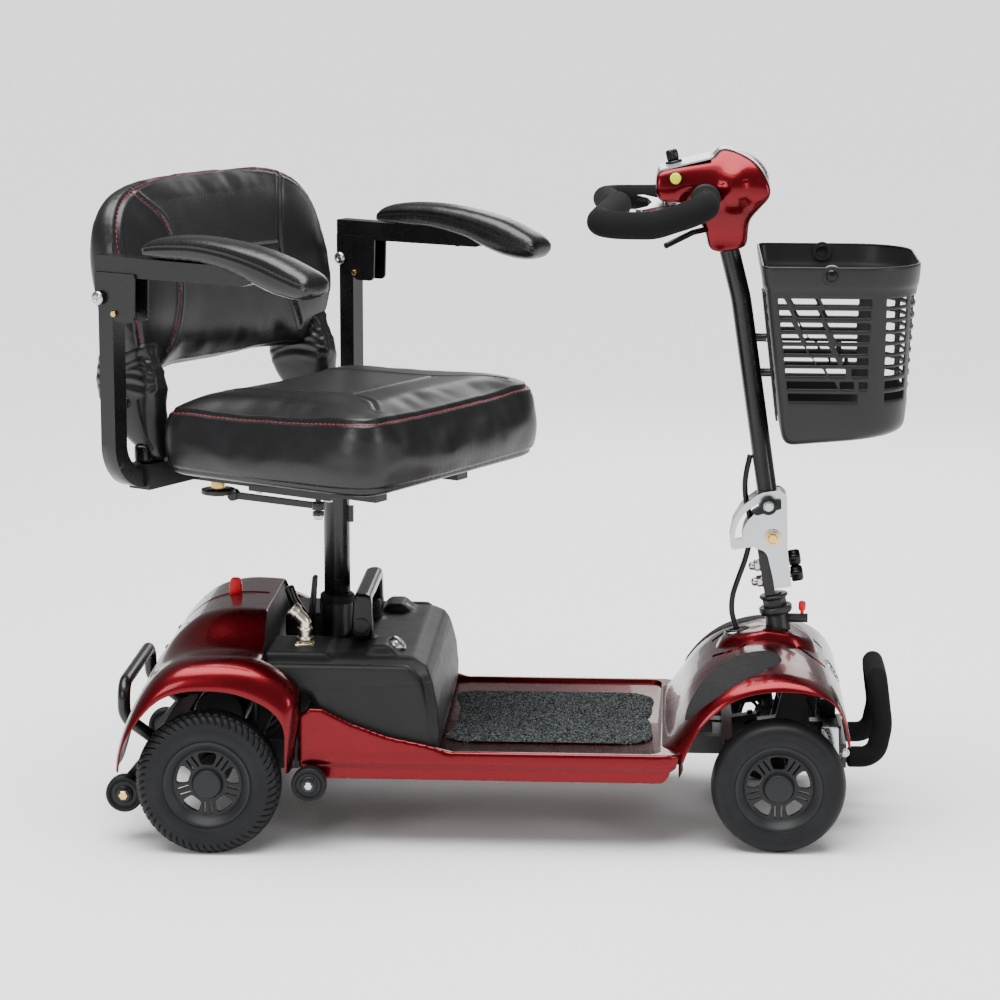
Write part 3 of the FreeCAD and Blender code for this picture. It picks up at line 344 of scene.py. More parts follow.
def joined(name, objects):
    """Several meshes made into one piece."""
    bm = bmesh.new()
    for obj in objects:
        bm.from_mesh(obj.data)
        bpy.data.objects.remove(obj)
    mesh = bpy.data.meshes.new(name)
    bm.to_mesh(mesh)
    bm.free()
    mesh.shade_smooth()
    return link(name, mesh)


def cut(obj, cutters):
    """Take the cutters out of obj."""
    tool = joined(obj.name + "_cutter", cutters)
    modifier(obj, "BOOLEAN", object=tool, operation="DIFFERENCE", solver="EXACT")
    apply_all(obj)
    bpy.data.objects.remove(tool)
    return obj


def remeshed(obj, voxel, rounds=0, factor=0.5):
    """A skin of even cells over a form, smoothed so that its edges round off."""
    modifier(obj, "REMESH", mode="VOXEL", voxel_size=voxel * MM, use_smooth_shade=True)
    if rounds:
        modifier(obj, "SMOOTH", factor=factor, iterations=rounds)
    return apply_all(obj)


def smoothed_normals(obj, angle=35):
    """Smooth shading that keeps the edges sharper than the angle."""
    obj.data.shade_smooth()
    obj.data.set_sharp_from_angle(angle=math.radians(angle))
    return obj


# ---- materials ----------------------------------------------------------------
class Shader:
    """A Principled material that is built up from procedural nodes."""

    def __init__(self, name, color, roughness, metallic=0.0, **sockets):
        self.mat = bpy.data.materials.new(name)
        self.mat.use_nodes = True
        self.nodes = self.mat.node_tree.nodes
        self.links = self.mat.node_tree.links
        self.bsdf = self.nodes["Principled BSDF"]
        self.mat.diffuse_color = (*color, 1)
        self.base = color
        self.set("Base Color", (*color, 1))
        self.set("Roughness", roughness)
        self.set("Metallic", metallic)
        for key, value in sockets.items():
            self.set(key.replace("_", " "), value)
        self.height = None

    def set(self, socket, value):
        self.bsdf.inputs[socket].default_value = value

    def node(self, kind, inputs=(), **attributes):
        node = self.nodes.new("ShaderNode" + kind)
        for key, value in attributes.items():
            setattr(node, key, value)
        for key, value in dict(inputs).items():
            if isinstance(value, bpy.types.NodeSocket):
                self.links.new(value, node.inputs[key])
            else:
                node.inputs[key].default_value = value
        return node

    def place(self, turn=0.0, scale=(1, 1, 1)):
        """Object coordinates, turned about Z and scaled."""
        coords = self.node("TexCoord").outputs["Object"]
        return self.node("Mapping", {"Vector": coords, "Rotation": (0, 0, turn), "Scale": scale}).outputs[0]

    def math(self, operation, a, b=0.0, clamp=False):
        return self.node("Math", {0: a, 1: b}, operation=operation, use_clamp=clamp).outputs[0]

    def noise(self, scale, detail=3.0, vector=None, roughness=0.5):
        inputs = {"Scale": scale, "Detail": detail, "Roughness": roughness,
                  "Vector": vector or self.place()}
        return self.node("TexNoise", inputs).outputs["Fac"]

    def cells(self, scale, feature="F1", vector=None):
        inputs = {"Scale": scale, "Vector": vector or self.place()}
        return self.node("TexVoronoi", inputs, feature=feature).outputs["Distance"]

    def ramp(self, factor, low, high, from_min=0.0, from_max=1.0):
        return self.node("MapRange", {"Value": factor, "From Min": from_min, "From Max": from_max,
                                      "To Min": low, "To Max": high}).outputs[0]

    def tint(self, factor, first, second):
        """Base colour between two colours."""
        mix = self.node("Mix", {0: factor}, data_type="RGBA")
        mix.inputs[6].default_value = (*first, 1)
        mix.inputs[7].default_value = (*second, 1)
        self.links.new(mix.outputs[2], self.bsdf.inputs["Base Color"])
        return mix.outputs[2]

    def rough(self, factor, low, high):
        self.links.new(self.ramp(factor, low, high), self.bsdf.inputs["Roughness"])

    def bump(self, height, strength, distance):
        """Add a layer of relief. distance is in millimetres."""
        inputs = {"Height": height, "Strength": strength, "Distance": distance * MM}
        if self.height:
            inputs["Normal"] = self.height
        self.height = self.node("Bump", inputs).outputs[0]
        self.links.new(self.height, self.bsdf.inputs["Normal"])


def painted(name, color, flake, roughness, metallic):
    """Metallic lacquer with fine flakes under a clear coat."""
    s = Shader(name, color, roughness, metallic, Coat_Weight=0.5, Coat_Roughness=0.03, Coat_IOR=1.32)
    flakes = s.cells(2600)
    facing = s.node("LayerWeight", {"Blend": 0.35}).outputs["Facing"]
    depth = s.math("ADD", s.math("MULTIPLY", flakes, flake), s.math("MULTIPLY", facing, 0.7), True)
    deep = tuple(c * 0.12 for c in color)
    s.tint(depth, color, deep)
    s.rough(s.noise(40), roughness - 0.05, roughness + 0.07)
    s.bump(s.noise(55, 2), 0.04, 0.4)
    return s.mat


def coated(name, color, roughness, grain=900.0, relief=0.12):
    """Powder-coated steel."""
    s = Shader(name, color, roughness, 0.0, Specular_IOR_Level=0.42)
    s.tint(s.noise(18, 4), color, tuple(c * 1.7 for c in color))
    s.rough(s.noise(60, 4), roughness - 0.06, roughness + 0.1)
    s.bump(s.noise(grain, 2), relief, 0.12)
    return s.mat


def moulded(name, color, roughness, grain=1200.0, relief=0.25, streak=0.0):
    """Moulded plastic with a fine spark texture."""
    s = Shader(name, color, roughness, 0.0, Specular_IOR_Level=0.26)
    s.tint(s.noise(12, 4), tuple(c * 0.8 for c in color), tuple(c * 1.35 for c in color))
    s.rough(s.noise(45, 3), roughness - 0.05, roughness + 0.08)
    s.bump(s.noise(grain, 3), relief, 0.16)
    if streak:
        s.bump(s.noise(90, 4, s.place(0, (1, 1, 9))), streak, 0.3)
    return s.mat


def metal(name, color, roughness, brushed=(1, 1, 14)):
    """Bare or plated metal, finely brushed."""
    s = Shader(name, color, roughness, 1.0)
    s.tint(s.noise(30, 4), tuple(c * 0.86 for c in color), color)
    s.rough(s.noise(160, 4, s.place(0, brushed)), roughness - 0.04, roughness + 0.14)
    s.bump(s.noise(420, 3, s.place(0, brushed)), 0.05, 0.08)
    return s.mat


def leather(name, color, roughness, turn=0.0, perforated=False):
    """Grained upholstery. Where the mesh says so it is perforated."""
    s = Shader(name, color, roughness, 0.0, Specular_IOR_Level=0.4)
    place = s.place(-turn)
    s.tint(s.noise(9, 5, place), tuple(c * 0.75 for c in color), tuple(c * 1.5 for c in color))
    pebbles = s.cells(620, "SMOOTH_F1", place)
    s.rough(pebbles, roughness - 0.05, roughness + 0.12)
    s.bump(pebbles, 0.3, 0.22)
    s.bump(s.noise(34, 5, place), 0.1, 0.9)
    if perforated:
        holes(s)
    return s.mat


def holes(s):
    """Staggered rows of small holes, on the panels that the mesh marks."""
    apart = 4.6 * MM
    split = s.node("SeparateXYZ", {0: s.node("Attribute", attribute_name="panel").outputs["Vector"]})
    u = s.math("DIVIDE", split.outputs[0], apart)
    v = s.math("DIVIDE", split.outputs[1], apart * 0.5)
    row = s.math("FLOOR", v)
    odd = s.math("MULTIPLY", s.math("MODULO", s.math("ABSOLUTE", row), 2.0), 0.5)
    across = s.math("SUBTRACT", s.math("FRACT", s.math("ADD", u, odd)), 0.5)
    along = s.math("MULTIPLY", s.math("SUBTRACT", s.math("FRACT", v), 0.5), 0.5)
    far = s.math("SQRT", s.math("ADD", s.math("MULTIPLY", across, across), s.math("MULTIPLY", along, along)))
    pit = s.ramp(far, 1.0, 0.0, 0.10, 0.19)
    pit = s.math("MULTIPLY", pit, split.outputs[2], True)
    s.bump(s.math("SUBTRACT", 1.0, pit), 0.8, 0.6)
    # Painted shade: the colour inside the holes is mixed towards near black, for the shade that falls into
    # them.
    before = s.bsdf.inputs["Base Color"].links[0].from_socket
    mix = s.node("Mix", {0: pit}, data_type="RGBA")
    s.links.new(before, mix.inputs[6])
    mix.inputs[7].default_value = (0.002, 0.002, 0.002, 1)
    s.links.new(mix.outputs[2], s.bsdf.inputs["Base Color"])


def rubber(name, color, roughness, scuff=0.4):
    """Rubber with some dust in its relief."""
    s = Shader(name, color, roughness, 0.0, Specular_IOR_Level=0.2)
    dust = s.ramp(s.noise(26, 6), 0.0, 1.0, 0.42, 0.75)
    s.tint(s.math("MULTIPLY", dust, scuff), color, tuple(c * 2.6 for c in color))
    s.rough(s.noise(70, 4), roughness - 0.08, roughness + 0.1)
    s.bump(s.noise(500, 4), 0.2, 0.2)
    return s.mat


def foam(name, color):
    """Closed-cell foam."""
    s = Shader(name, color, 0.92, 0.0, Specular_IOR_Level=0.12)
    s.tint(s.noise(300, 4), tuple(c * 0.7 for c in color), tuple(c * 1.5 for c in color))
    s.bump(s.cells(900), 0.5, 0.25)
    s.bump(s.noise(60, 3), 0.15, 0.6)
    return s.mat


def carpet(name):
    """Flecked carpet pile."""
    s = Shader(name, (0.03, 0.034, 0.034), 0.96, 0.0, Specular_IOR_Level=0.1)
    fleck = s.noise(520, 5)
    s.tint(s.ramp(fleck, 0.0, 1.0, 0.42, 0.68), (0.003, 0.0035, 0.0035), (0.10, 0.11, 0.11))
    s.bump(fleck, 0.9, 1.2)
    return s.mat


def speckled(name):
    """Gritty anti-slip covering."""
    s = Shader(name, (0.03, 0.03, 0.03), 0.85, 0.0, Specular_IOR_Level=0.15)
    grit = s.cells(1100)
    s.tint(s.ramp(grit, 1.0, 0.0, 0.1, 0.5), (0.012, 0.012, 0.013), (0.06, 0.06, 0.06))
    s.bump(grit, 0.7, 0.35)
    return s.mat


def lens(name):
    """Ribbed lamp glass."""
    s = Shader(name, (0.92, 0.86, 0.7), 0.06, 0.0, Transmission_Weight=0.55, Coat_Weight=0.6)
    s.bump(s.node("TexWave", {"Scale": 90.0, "Vector": s.place()}).outputs["Fac"], 0.5, 0.5)
    return s.mat


def panel(name):
    """Brushed metallic foil of the control panel."""
    s = Shader(name, (0.42, 0.42, 0.44), 0.34, 0.55, Coat_Weight=0.3)
    s.rough(s.noise(120, 3, s.place(0, (1, 12, 1))), 0.22, 0.4)
    return s.mat


# How each finish is made: after the colour come its roughness, and the scale and depth of its grain.
RED = (0.17, 0.0002, 0.0055)
FINISHES = {
    "candy_red": (painted, RED, 0.4, 0.27, 0.86),
    "black_steel": (coated, (0.0035, 0.0035, 0.004), 0.26),
    "satin_black": (coated, (0.006, 0.006, 0.007), 0.4, 700, 0.2),
    "black_plastic": (moulded, (0.007, 0.007, 0.0078), 0.5, 750, 0.55),
    "gloss_black": (moulded, (0.003, 0.003, 0.0034), 0.2, 300, 0.05),
    "soft_black": (moulded, (0.008, 0.008, 0.0085), 0.6, 900, 0.3),
    "basket_plastic": (moulded, (0.010, 0.010, 0.0105), 0.36, 900, 0.2, 0.15),
    "rim_plastic": (moulded, (0.009, 0.0095, 0.0105), 0.42, 1000, 0.2),
    "zinc": (metal, (0.54, 0.55, 0.57), 0.2),
    "nickel": (metal, (0.80, 0.74, 0.62), 0.18),
    "brass": (metal, (0.80, 0.52, 0.18), 0.2),
    "cast_alloy": (metal, (0.05, 0.05, 0.053), 0.42, (1, 1, 1)),
    "leather": (leather, (0.0045, 0.0045, 0.0052), 0.33, SEAT_TURN),
    "leather_panel": (leather, (0.0045, 0.0045, 0.0052), 0.34, SEAT_TURN, True),
    "pad_skin": (leather, (0.004, 0.004, 0.0045), 0.27, SEAT_TURN),
    "tyre": (rubber, (0.006, 0.0063, 0.0072), 0.5),
    "foam": (foam, (0.006, 0.006, 0.0062)),
    "carpet": (carpet,),
    "anti_slip": (speckled,),
    "panel": (panel,),
    "lens": (lens,),
    "yellow": (moulded, (0.64, 0.66, 0.002), 0.3, 300, 0.05),
    "red_plastic": (moulded, (0.55, 0.005, 0.012), 0.32, 400, 0.08),
    "red_thread": (moulded, (0.30, 0.015, 0.03), 0.7, 2000, 0.3),
    "black_thread": (moulded, (0.012, 0.012, 0.013), 0.6, 2000, 0.3),
    "dark": (moulded, (0.004, 0.004, 0.004), 0.7, 500, 0.1)}
MATERIALS = {name: make(name, *values) for name, (make, *values) in FINISHES.items()}


def paint(obj, name):
    """Give a piece a single material."""
    obj.data.materials.clear()
    obj.data.materials.append(MATERIALS[name])
    return obj


def place(obj, body, finish, slot=None, replaces=()):
    """Give a finished piece its material and the body it moves with. slot is not used."""
    paint(obj, finish)
    if replaces:
        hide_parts(*replaces)
    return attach(obj, body)


def fitted(name, body, finish, profile, centre, axis, soft=0.8, count=48):
    """A small turned piece on a body, in its own material."""
    return place(turned(name, profile, centre, axis, soft, count), body, finish)


def carried_over(node, finish, bevel):
    """A CAD node that stays: a better material, and softly rounded edges."""
    obj = NODES[node]
    obj.material_slots[0].link = "OBJECT"
    obj.material_slots[0].material = MATERIALS[finish]
    modifier(obj, "WELD", merge_threshold=1e-5)
    modifier(obj, "BEVEL", width=bevel * MM, segments=2, limit_method="ANGLE", angle_limit=math.radians(32),
             harden_normals=True, use_clamp_overlap=True)


# ---- studio -------------------------------------------------------------------
FLOOR_HALF = 60
LIGHTS = [("top", (-0.2, -0.3, 2.6), (0, 0, 0.4), 2.4, 55), ("key", (-1.8, -2.8, 1.5), (0, 0, 0.5), 1.0, 30),
          ("side", (2.6, -1.8, 1.3), (0.1, 0, 0.4), 0.9, 22), ("back", (0.6, 3.0, 1.8), (0, 0, 0.5), 1.6, 30)]


def studio():
    """A light floor, an even sky and four soft lights."""
    a = FLOOR_HALF
    mesh = bpy.data.meshes.new("floor")
    mesh.from_pydata([(-a, -a, 0), (a, -a, 0), (a, a, 0), (-a, a, 0)], [], [(0, 1, 2, 3)])
    floor = link("floor", mesh)
    s = Shader("floor", (0.9, 0.9, 0.9), 0.7)
    s.tint(s.noise(0.6, 2), (0.89, 0.89, 0.89), (0.91, 0.91, 0.91))
    mesh.materials.append(s.mat)
    world = bpy.data.worlds.new("studio")
    world.use_nodes = True
    background = world.node_tree.nodes["Background"].inputs
    background["Color"].default_value = (1, 1, 1, 1)
    background["Strength"].default_value = 0.32
    SCENE.world = world
    sky = bpy.data.lights.new("sky", "SUN")
    sky.energy = 5.6
    sky.angle = math.radians(55)
    link("sky", sky).rotation_euler = (math.radians(8), math.radians(-6), 0)
    for light in LIGHTS:
        area_light(*light)


def area_light(name, at, towards, size, power):
    """A square lamp that faces a point."""
    light = bpy.data.lights.new(name, "AREA")
    light.size = size
    light.energy = power
    obj = link(name, light)
    obj.location = at
    obj.rotation_euler = (Vector(towards) - Vector(at)).to_track_quat("-Z", "Y").to_euler()


VIEW_ANGLES = (3.11, 11.05, 0.11)
VIEW_TARGET = Vector((-0.0036, 0, 0.45118))
VIEW_DISTANCE = 4.46218
LENS = 113.9


def camera():
    """The view that the object is seen in: from the right, a little above."""
    azimuth, elevation, roll = (math.radians(angle) for angle in VIEW_ANGLES)
    flat = math.cos(elevation)
    back = Vector((math.sin(azimuth) * flat, -math.cos(azimuth) * flat, math.sin(elevation)))
    data = bpy.data.cameras.new("camera")
    data.lens = LENS
    data.sensor_width = 36
    data.clip_end = 200
    obj = link("camera", data)
    obj.location = VIEW_TARGET + back * VIEW_DISTANCE
    turn = back.to_track_quat("Z", "Y") @ Matrix.Rotation(roll, 3, "Z").to_quaternion()
    obj.rotation_euler = turn.to_euler()
    SCENE.camera = obj


# ---- wheels -------------------------------------------------------------------
def wheel_centre(side, front):
    """Centre of a road wheel, which stands as high as its radius."""
    x, y, r = (FRONT_X, FRONT_Y, FRONT_R) if front else (REAR_X, REAR_Y, REAR_R)
    return x, y * side[1], r


BEAD_R = 57.5
TYRE_HALF = [(-18.5, BEAD_R), (-22.5, 61), (-24.6, 69), (-25, 78), (-24.2, 86), (-21, 93), (-14.5, 97.8),
             (-7, 99.6), (0, REAR_R)]
LUG_COUNT = 56


def tyre_section(outer, count):
    """Half round, half square section as (across, radius), from one bead over the crown to the other."""
    whole = np.array(TYRE_HALF + [(-a, r) for a, r in TYRE_HALF[-2::-1]], float)
    whole[:, 1] = BEAD_R + (whole[:, 1] - BEAD_R) * (outer - BEAD_R) / (REAR_R - BEAD_R)
    return curve(whole, count)


def pulse(x, centre, half, soft):
    """1 within half of centre, falling to 0 over soft."""
    return 1 - np.clip((np.abs(x - centre) - half) / soft, 0, 1)


def lugs(turn, across):
    """Depth of the tread: slanted lugs on both sides of a middle rib."""
    side = np.abs(across)
    phase = turn * LUG_COUNT / (2 * math.pi) + side * 0.05 + np.where(across > 0, 0.0, 0.5)
    phase = np.abs((phase % 1.0) - 0.5)
    gap = pulse(phase, 0.0, 0.10, 0.07) * np.clip((side - 4) / 1.5, 0, 1)
    ring = pulse(side, 5.5, 0.8, 0.9)
    second = pulse(side, 16.5, 0.7, 0.9)
    return 3.0 * np.clip(np.maximum(np.maximum(gap, ring), second), 0, 1) * np.clip((33 - side) / 3, 0, 1)


def tyre(side, front):
    """A tyre with grooves on its walls. The rear ones have lugs, and the front ones three fine grooves."""
    x, y, outer = wheel_centre(side, front)
    end = "front" if front else "rear"
    name = end + "_tyre_" + side[0]
    section = tyre_section(outer, 58 if front else 72)
    across = travelled(section)
    across -= across[-1] / 2
    step = np.gradient(section, axis=0)
    out = np.stack([step[:, 1], -step[:, 0]], 1)
    out /= -np.linalg.norm(out, axis=1)[:, None]
    turn = full_turn(200 if front else 672)
    radius = section[:, 1]
    if front:
        grooves = 1.2 * pulse(np.abs(across), 6.5, 0.7, 0.9) + 1.2 * pulse(np.abs(across), 0, 0.7, 0.9)
        depth = np.zeros((len(section), len(turn)))
        depth += grooves[:, None]
    else:
        depth = lugs(turn[None, :], across[:, None])
    rings = pulse(radius, outer - 38, 0.6, 0.8) + pulse(radius, outer - 22, 0.5, 0.8) * 0.8
    rings += pulse(radius, outer - 18.5, 0.5, 0.8) * 0.8 - pulse(radius, outer - 30, 3.2, 1.2) * 0.5
    depth += (0.8 * rings)[:, None]
    a = section[:, None, 0] - out[:, None, 0] * depth
    r = section[:, None, 1] - out[:, None, 1] * depth
    points = np.stack([x + r * np.cos(turn), y + a, outer + r * np.sin(turn)], 2)
    obj = tidy(grid(name, points, wrap_rows=True, wrap_columns=True))
    place(obj, end + "_wheel_" + side[0], "tyre", "tyre", [name])


def polar(radius, angle):
    """Two coordinates from a radius and an angle."""
    return radius * math.cos(angle), radius * math.sin(angle)


def window(angle):
    """Rounded opening between two spokes."""
    out = []
    for t in full_turn(28):
        c, s = math.cos(t), math.sin(t)
        radius = 35.4 + 10.0 * math.copysign(abs(c) ** 0.55, c)
        out.append(polar(radius, angle + math.radians(19.5) * math.copysign(abs(s) ** 0.6, s)))
    return out


def slit(angle, offset):
    """Narrow slot along a spoke."""
    out = []
    for t in full_turn(16):
        along = 34.5 + 7.4 * (1 if math.cos(t) > 0 else -1) + 2.0 * math.cos(t)
        across = offset + 2.0 * math.sin(t)
        c, s = math.cos(angle), math.sin(angle)
        out.append((along * c - across * s, along * s + across * c))
    return out


def perforated_disc(name, openings, radius, depth, bevel):
    """A round plate with openings and softly rounded edges, in the XY plane."""
    data = bpy.data.curves.new(name, "CURVE")
    data.dimensions = "2D"
    data.fill_mode = "BOTH"
    data.extrude = depth
    data.bevel_depth = bevel
    data.bevel_resolution = 2
    edge = [polar(radius, t) for t in full_turn(96)]
    for outline in [edge] + openings:
        spline = data.splines.new("POLY")
        spline.points.add(len(outline) - 1)
        for point, (u, v) in zip(spline.points, outline):
            point.co = (u, v, 0, 1)
        spline.use_cyclic_u = True
    obj = link(name, data)
    bpy.context.view_layer.update()
    mesh = bpy.data.meshes.new_from_object(obj.evaluated_get(bpy.context.evaluated_depsgraph_get()))
    bpy.data.objects.remove(obj)
    return link(name, mesh)


SPOKES = [math.radians(a) for a in (126, 54, -18, -90, 198)]
RIM_LIP = [(12, 43), (13, 46), (17, 49.5), (21, 54.2), (23.4, 57.2), (23.6, 59.2), (22.2, 60.4), (19.4, 58.8),
           (-19.4, 58.8), (-22.2, 60.4), (-23.4, 59), (-21, 54), (-16, 50.5), (6, 48.5), (8, 46), (8, 43)]
HUB_CAP = [(-2, 22.6), (11.8, 22.6), (13.8, 22), (17.6, 20.6), (19.2, 19.8), (21.8, 19.4), (22.9, 18.4),
           (23.2, 16), (23.4, 8), (23.4, 0.01)]
HUB_BARREL = [(-17, 8), (-17, 17), (9, 17), (9, 8)]


def rim(side, front):
    """A five-spoked disc with its lip, hub cap and barrel."""
    end = "front" if front else "rear"
    name = end + "_rim_" + side[0]
    centre = wheel_centre(side, front)
    axis = (0, side[1], 0)
    openings = [window(a + math.radians(36)) for a in SPOKES]
    openings += [slit(a, offset) for a in SPOKES for offset in (-4.4, 4.4)]
    disc = perforated_disc(name + "_disc", openings, radius=47.5, depth=2.0, bevel=0.9)
    p = co(disc)
    spot = np.stack([p[:, 0] * -side[1], np.full(len(p), 0.0), p[:, 1]], 1)
    swell = 1.6 * np.clip(1 - np.hypot(p[:, 0], p[:, 1]) / 50, 0, 1)
    spot[:, 1] = side[1] * (10.6 + swell + p[:, 2])
    set_co(disc, (spot + centre) * MM)
    tidy(disc, 1e-6)
    smoothed_normals(disc, 40)
    lip = turned(name + "_lip", RIM_LIP, centre, axis, soft=1.2, count=160)
    cap = turned(name + "_cap", HUB_CAP, centre, axis, soft=0.9, count=96)
    barrel = turned(name + "_barrel", HUB_BARREL, centre, axis)
    body = end + "_wheel_" + side[0]
    place(disc, body, "rim_plastic", "rim_plastic", [name])
    for piece in (lip, cap, barrel):
        place(piece, body, "rim_plastic", "rim_plastic")


ANTITIP = (-513.5, 181.5, 67.0, 26.0)
TRANSIT = (-250.5, 235.0, 100.0, 24.0)
BOLT_OUT = 11.2


def small_wheel(side, spec, word):
    """A small roller: a rubber band on a hub. spec holds its centre and its radius."""
    x, y, z, radius = spec
    name = word + "_wheel_" + side[0]
    centre = (x, y * side[1], z)
    axis = (0, side[1], 0)
    tread = [(-7.5, radius - 7), (-9.4, radius - 5.4), (-9.6, radius - 2.2), (-7.6, radius - 0.3),
             (-4, radius), (4, radius), (7.6, radius - 0.3), (9.6, radius - 2.2), (9.4, radius - 5.4),
             (7.5, radius - 7)]
    core = [(-9.5, 5.4), (-9.5, 10.5), (-8, 12), (-6.5, 12.5), (-6.5, radius - 8.5), (-8.2, radius - 6.6),
            (8.2, radius - 6.6), (6.5, radius - 8.5), (6.5, 12.5), (8, 12), (9.5, 10.5), (9.5, 5.4)]
    band = turned(name + "_band", tread, centre, axis, soft=0.8, count=96)
    hub = turned(name + "_hub", core, centre, axis, soft=0.7, count=96)
    body = word + "_" + side[0]
    place(band, body, "tyre", "tyre", [name])
    place(hub, body, "rim_plastic", "tyre")


def hex_bolt(name, centre, axis, across, height, body, finish, washer=0.0):
    """Six-sided bolt head with a chamfered top, on a washer."""
    axis, side, up = frame_about(axis)
    rings = []
    reach = across / math.sqrt(3)
    for distance, scale in ((0, 1), (height * 0.78, 1), (height, 0.86)):
        ring = []
        for i in range(6):
            a = math.radians(60 * i + 15)
            ring.append(np.array(centre) + np.array(axis) * distance
                        + reach * scale * (math.cos(a) * np.array(side) + math.sin(a) * np.array(up)))
        rings.append(ring)
    head = capped(name, rings)
    modifier(head, "BEVEL", width=0.35 * MM, segments=2, limit_method="ANGLE", harden_normals=True)
    apply_all(head)
    place(head, body, finish)
    if washer:
        low = np.array(centre) - np.array(axis) * 1.2
        fitted(name + "_washer", body, finish, [(0, 0.01), (0, washer), (1.6, washer), (1.6, 0.01)], low,
               axis, 0.4)


def dome_bolt(name, centre, axis, radius, height, body, finish):
    """Low domed head with a round recess."""
    profile = [(0, radius)]
    profile += [(height * math.sin(t), radius * math.cos(t) ** 0.8) for t in np.linspace(0.25, 1.25, 6)]
    profile += [(height * 0.95, radius * 0.34), (height * 0.35, radius * 0.32), (height * 0.35, 0.01)]
    return place(lathe(name, profile, centre, axis, 48), body, finish)


def wheels():
    """Four road wheels and four small rollers, with the rollers' bolts."""
    for side in SIDES:
        for front in (False, True):
            tyre(side, front)
            rim(side, front)
        small_wheel(side, ANTITIP, "antitip")
        small_wheel(side, TRANSIT, "transit")
        out = (0, side[1], 0)
        x, y, z, _ = ANTITIP
        hex_bolt("antitip_bolt_" + side[0], (x, side[1] * (y + BOLT_OUT), z), out, 12, 5, "chassis", "brass",
                 8.2)
        x, y, z, _ = TRANSIT
        hex_bolt("transit_bolt_" + side[0], (x, side[1] * (y + BOLT_OUT), z), out, 10, 4, "chassis", "zinc",
                 8)


# ---- painted shrouds ----------------------------------------------------------
FENDER = [(-517, 116), (-514, 142), (-505, 173), (-487, 212), (-462, 245), (-432, 264), (-396, 271),
          (-350, 272), (-318, 266), (-288, 250), (-264, 226), (-266, 184), (-272, 140), (-274, 118)]
FENDER_LIP = [(-510, 116), (-506, 142), (-494, 170), (-472, 200), (-450, 219), (-424, 229), (-394, 232),
              (-358, 230), (-330, 222), (-306, 210), (-290, 195), (-282, 175), (-282, 140), (-281, 118)]
HUMP = [(-505, 183), (-500, 193), (-494, 205), (-485, 222), (-470, 247), (-448, 276), (-415, 302),
        (-372, 313), (-321.5, 312)]
SHOULDER = [(214, 0), (226, .05), (237, .16), (246, .33), (252, .56), (255, .8), (255.4, 1)]
PER_SPAN = 5
SKIN = 3.0
HUMP_HALF, HUMP_BLEND = 96, 92
HUMP_TOP, FENDER_TOP = 312, 266
EDGE_Y = 205
SHROUD_CAP = [(-3, 0.01), (-3, 15), (0.4, 15), (1.2, 14), (1.4, 0.01)]


def smoothstep(x):
    """0 below 0, 1 above 1, and a soft rise between."""
    t = np.clip(x, 0, 1)
    return t * t * (3 - 2 * t)


def mirrored_columns(half):
    """Columns for y < 0, the middle and y > 0 from those for y >= 0."""
    left = half.copy()
    left[:, :, 1] *= -1
    return np.concatenate([half[:, :0:-1], left], axis=1)


def shroud_blend(y):
    """0 on the middle hump, 1 on the fender."""
    return smoothstep((np.abs(y) - HUMP_HALF) / HUMP_BLEND)


def rear_shroud():
    """Cover over the drive: two round fenders with a higher hump between them."""
    fender = through(FENDER, PER_SPAN)
    lip = through(FENDER_LIP, PER_SPAN)
    hump = through(HUMP, PER_SPAN)
    rows = len(fender)
    top = np.vstack([hump, np.repeat(hump[-1:], rows - len(hump), 0)])
    columns = [(y, None) for y in np.linspace(0, EDGE_Y, 36)] + [(y, t) for y, t in through(SHOULDER, 3)]
    half = np.empty((rows, len(columns), 3))
    for j, (y, t) in enumerate(columns):
        if t is None:
            w = shroud_blend(y)
            section = top * (1 - w) + fender * w
        else:
            section = fender + (lip - fender) * t
        half[:, j] = np.stack([section[:, 0], np.full(rows, -y), section[:, 1]], 1)
    points = mirrored_columns(half)
    count = points.shape[1]
    keep = np.ones((rows - 1, count), bool)
    wide = np.abs(points[:-1, :, 1]) >= EDGE_Y - 0.1
    inner = np.roll(wide, -1, 1) & wide
    keep[len(hump) - 1:] = inner[len(hump) - 1:]
    obj = tidy(grid("rear_shroud", points, keep=keep))
    facing_up(obj)
    modifier(obj, "SOLIDIFY", thickness=SKIN * MM, offset=-1, use_even_offset=False)
    modifier(obj, "SUBSURF", levels=1)
    apply_all(obj)
    slot = box("slot", (-452, -6, 270), (-332, 6, 330), 2)
    slit = box("slit", (-440, -14, 270), (-350, -11, 330), 1)
    cut(obj, [slot, slit])
    smoothed_normals(obj, 40)
    place(obj, "chassis", "candy_red", "candy_red", ["rear_shroud"])
    shroud_details()


def shroud_details():
    """The wall that closes the rear shroud in front, its screws and its two caps."""
    ys = np.linspace(-203, 203, 60)
    top = HUMP_TOP + (FENDER_TOP - HUMP_TOP) * shroud_blend(ys) - 4.2
    outline = list(zip(ys, top)) + [(203, 150), (150, 140), (-150, 140), (-203, 150)]
    wall = prism("shroud_bulkhead", outline, -329, -325, from_end, 0.6)
    place(wall, "chassis", "soft_black")
    for i, (x, y) in enumerate(((-470, -60), (-470, 60), (-436, -84), (-436, 84))):
        z = float(np.interp(x, *zip(*HUMP)))
        dome_bolt("shroud_screw_%d" % i, (x, y, z - 0.6), (-0.72, 0, 0.69), 4.6, 2.4, "chassis",
                  "gloss_black")
    for i, s in enumerate((1, -1)):
        cap = turned("shroud_cap_%d" % i, SHROUD_CAP, (-494, s * 96, 202), (-0.87, 0, 0.5), 0.8, 48)
        place(cap, "chassis", "candy_red", "candy_red")


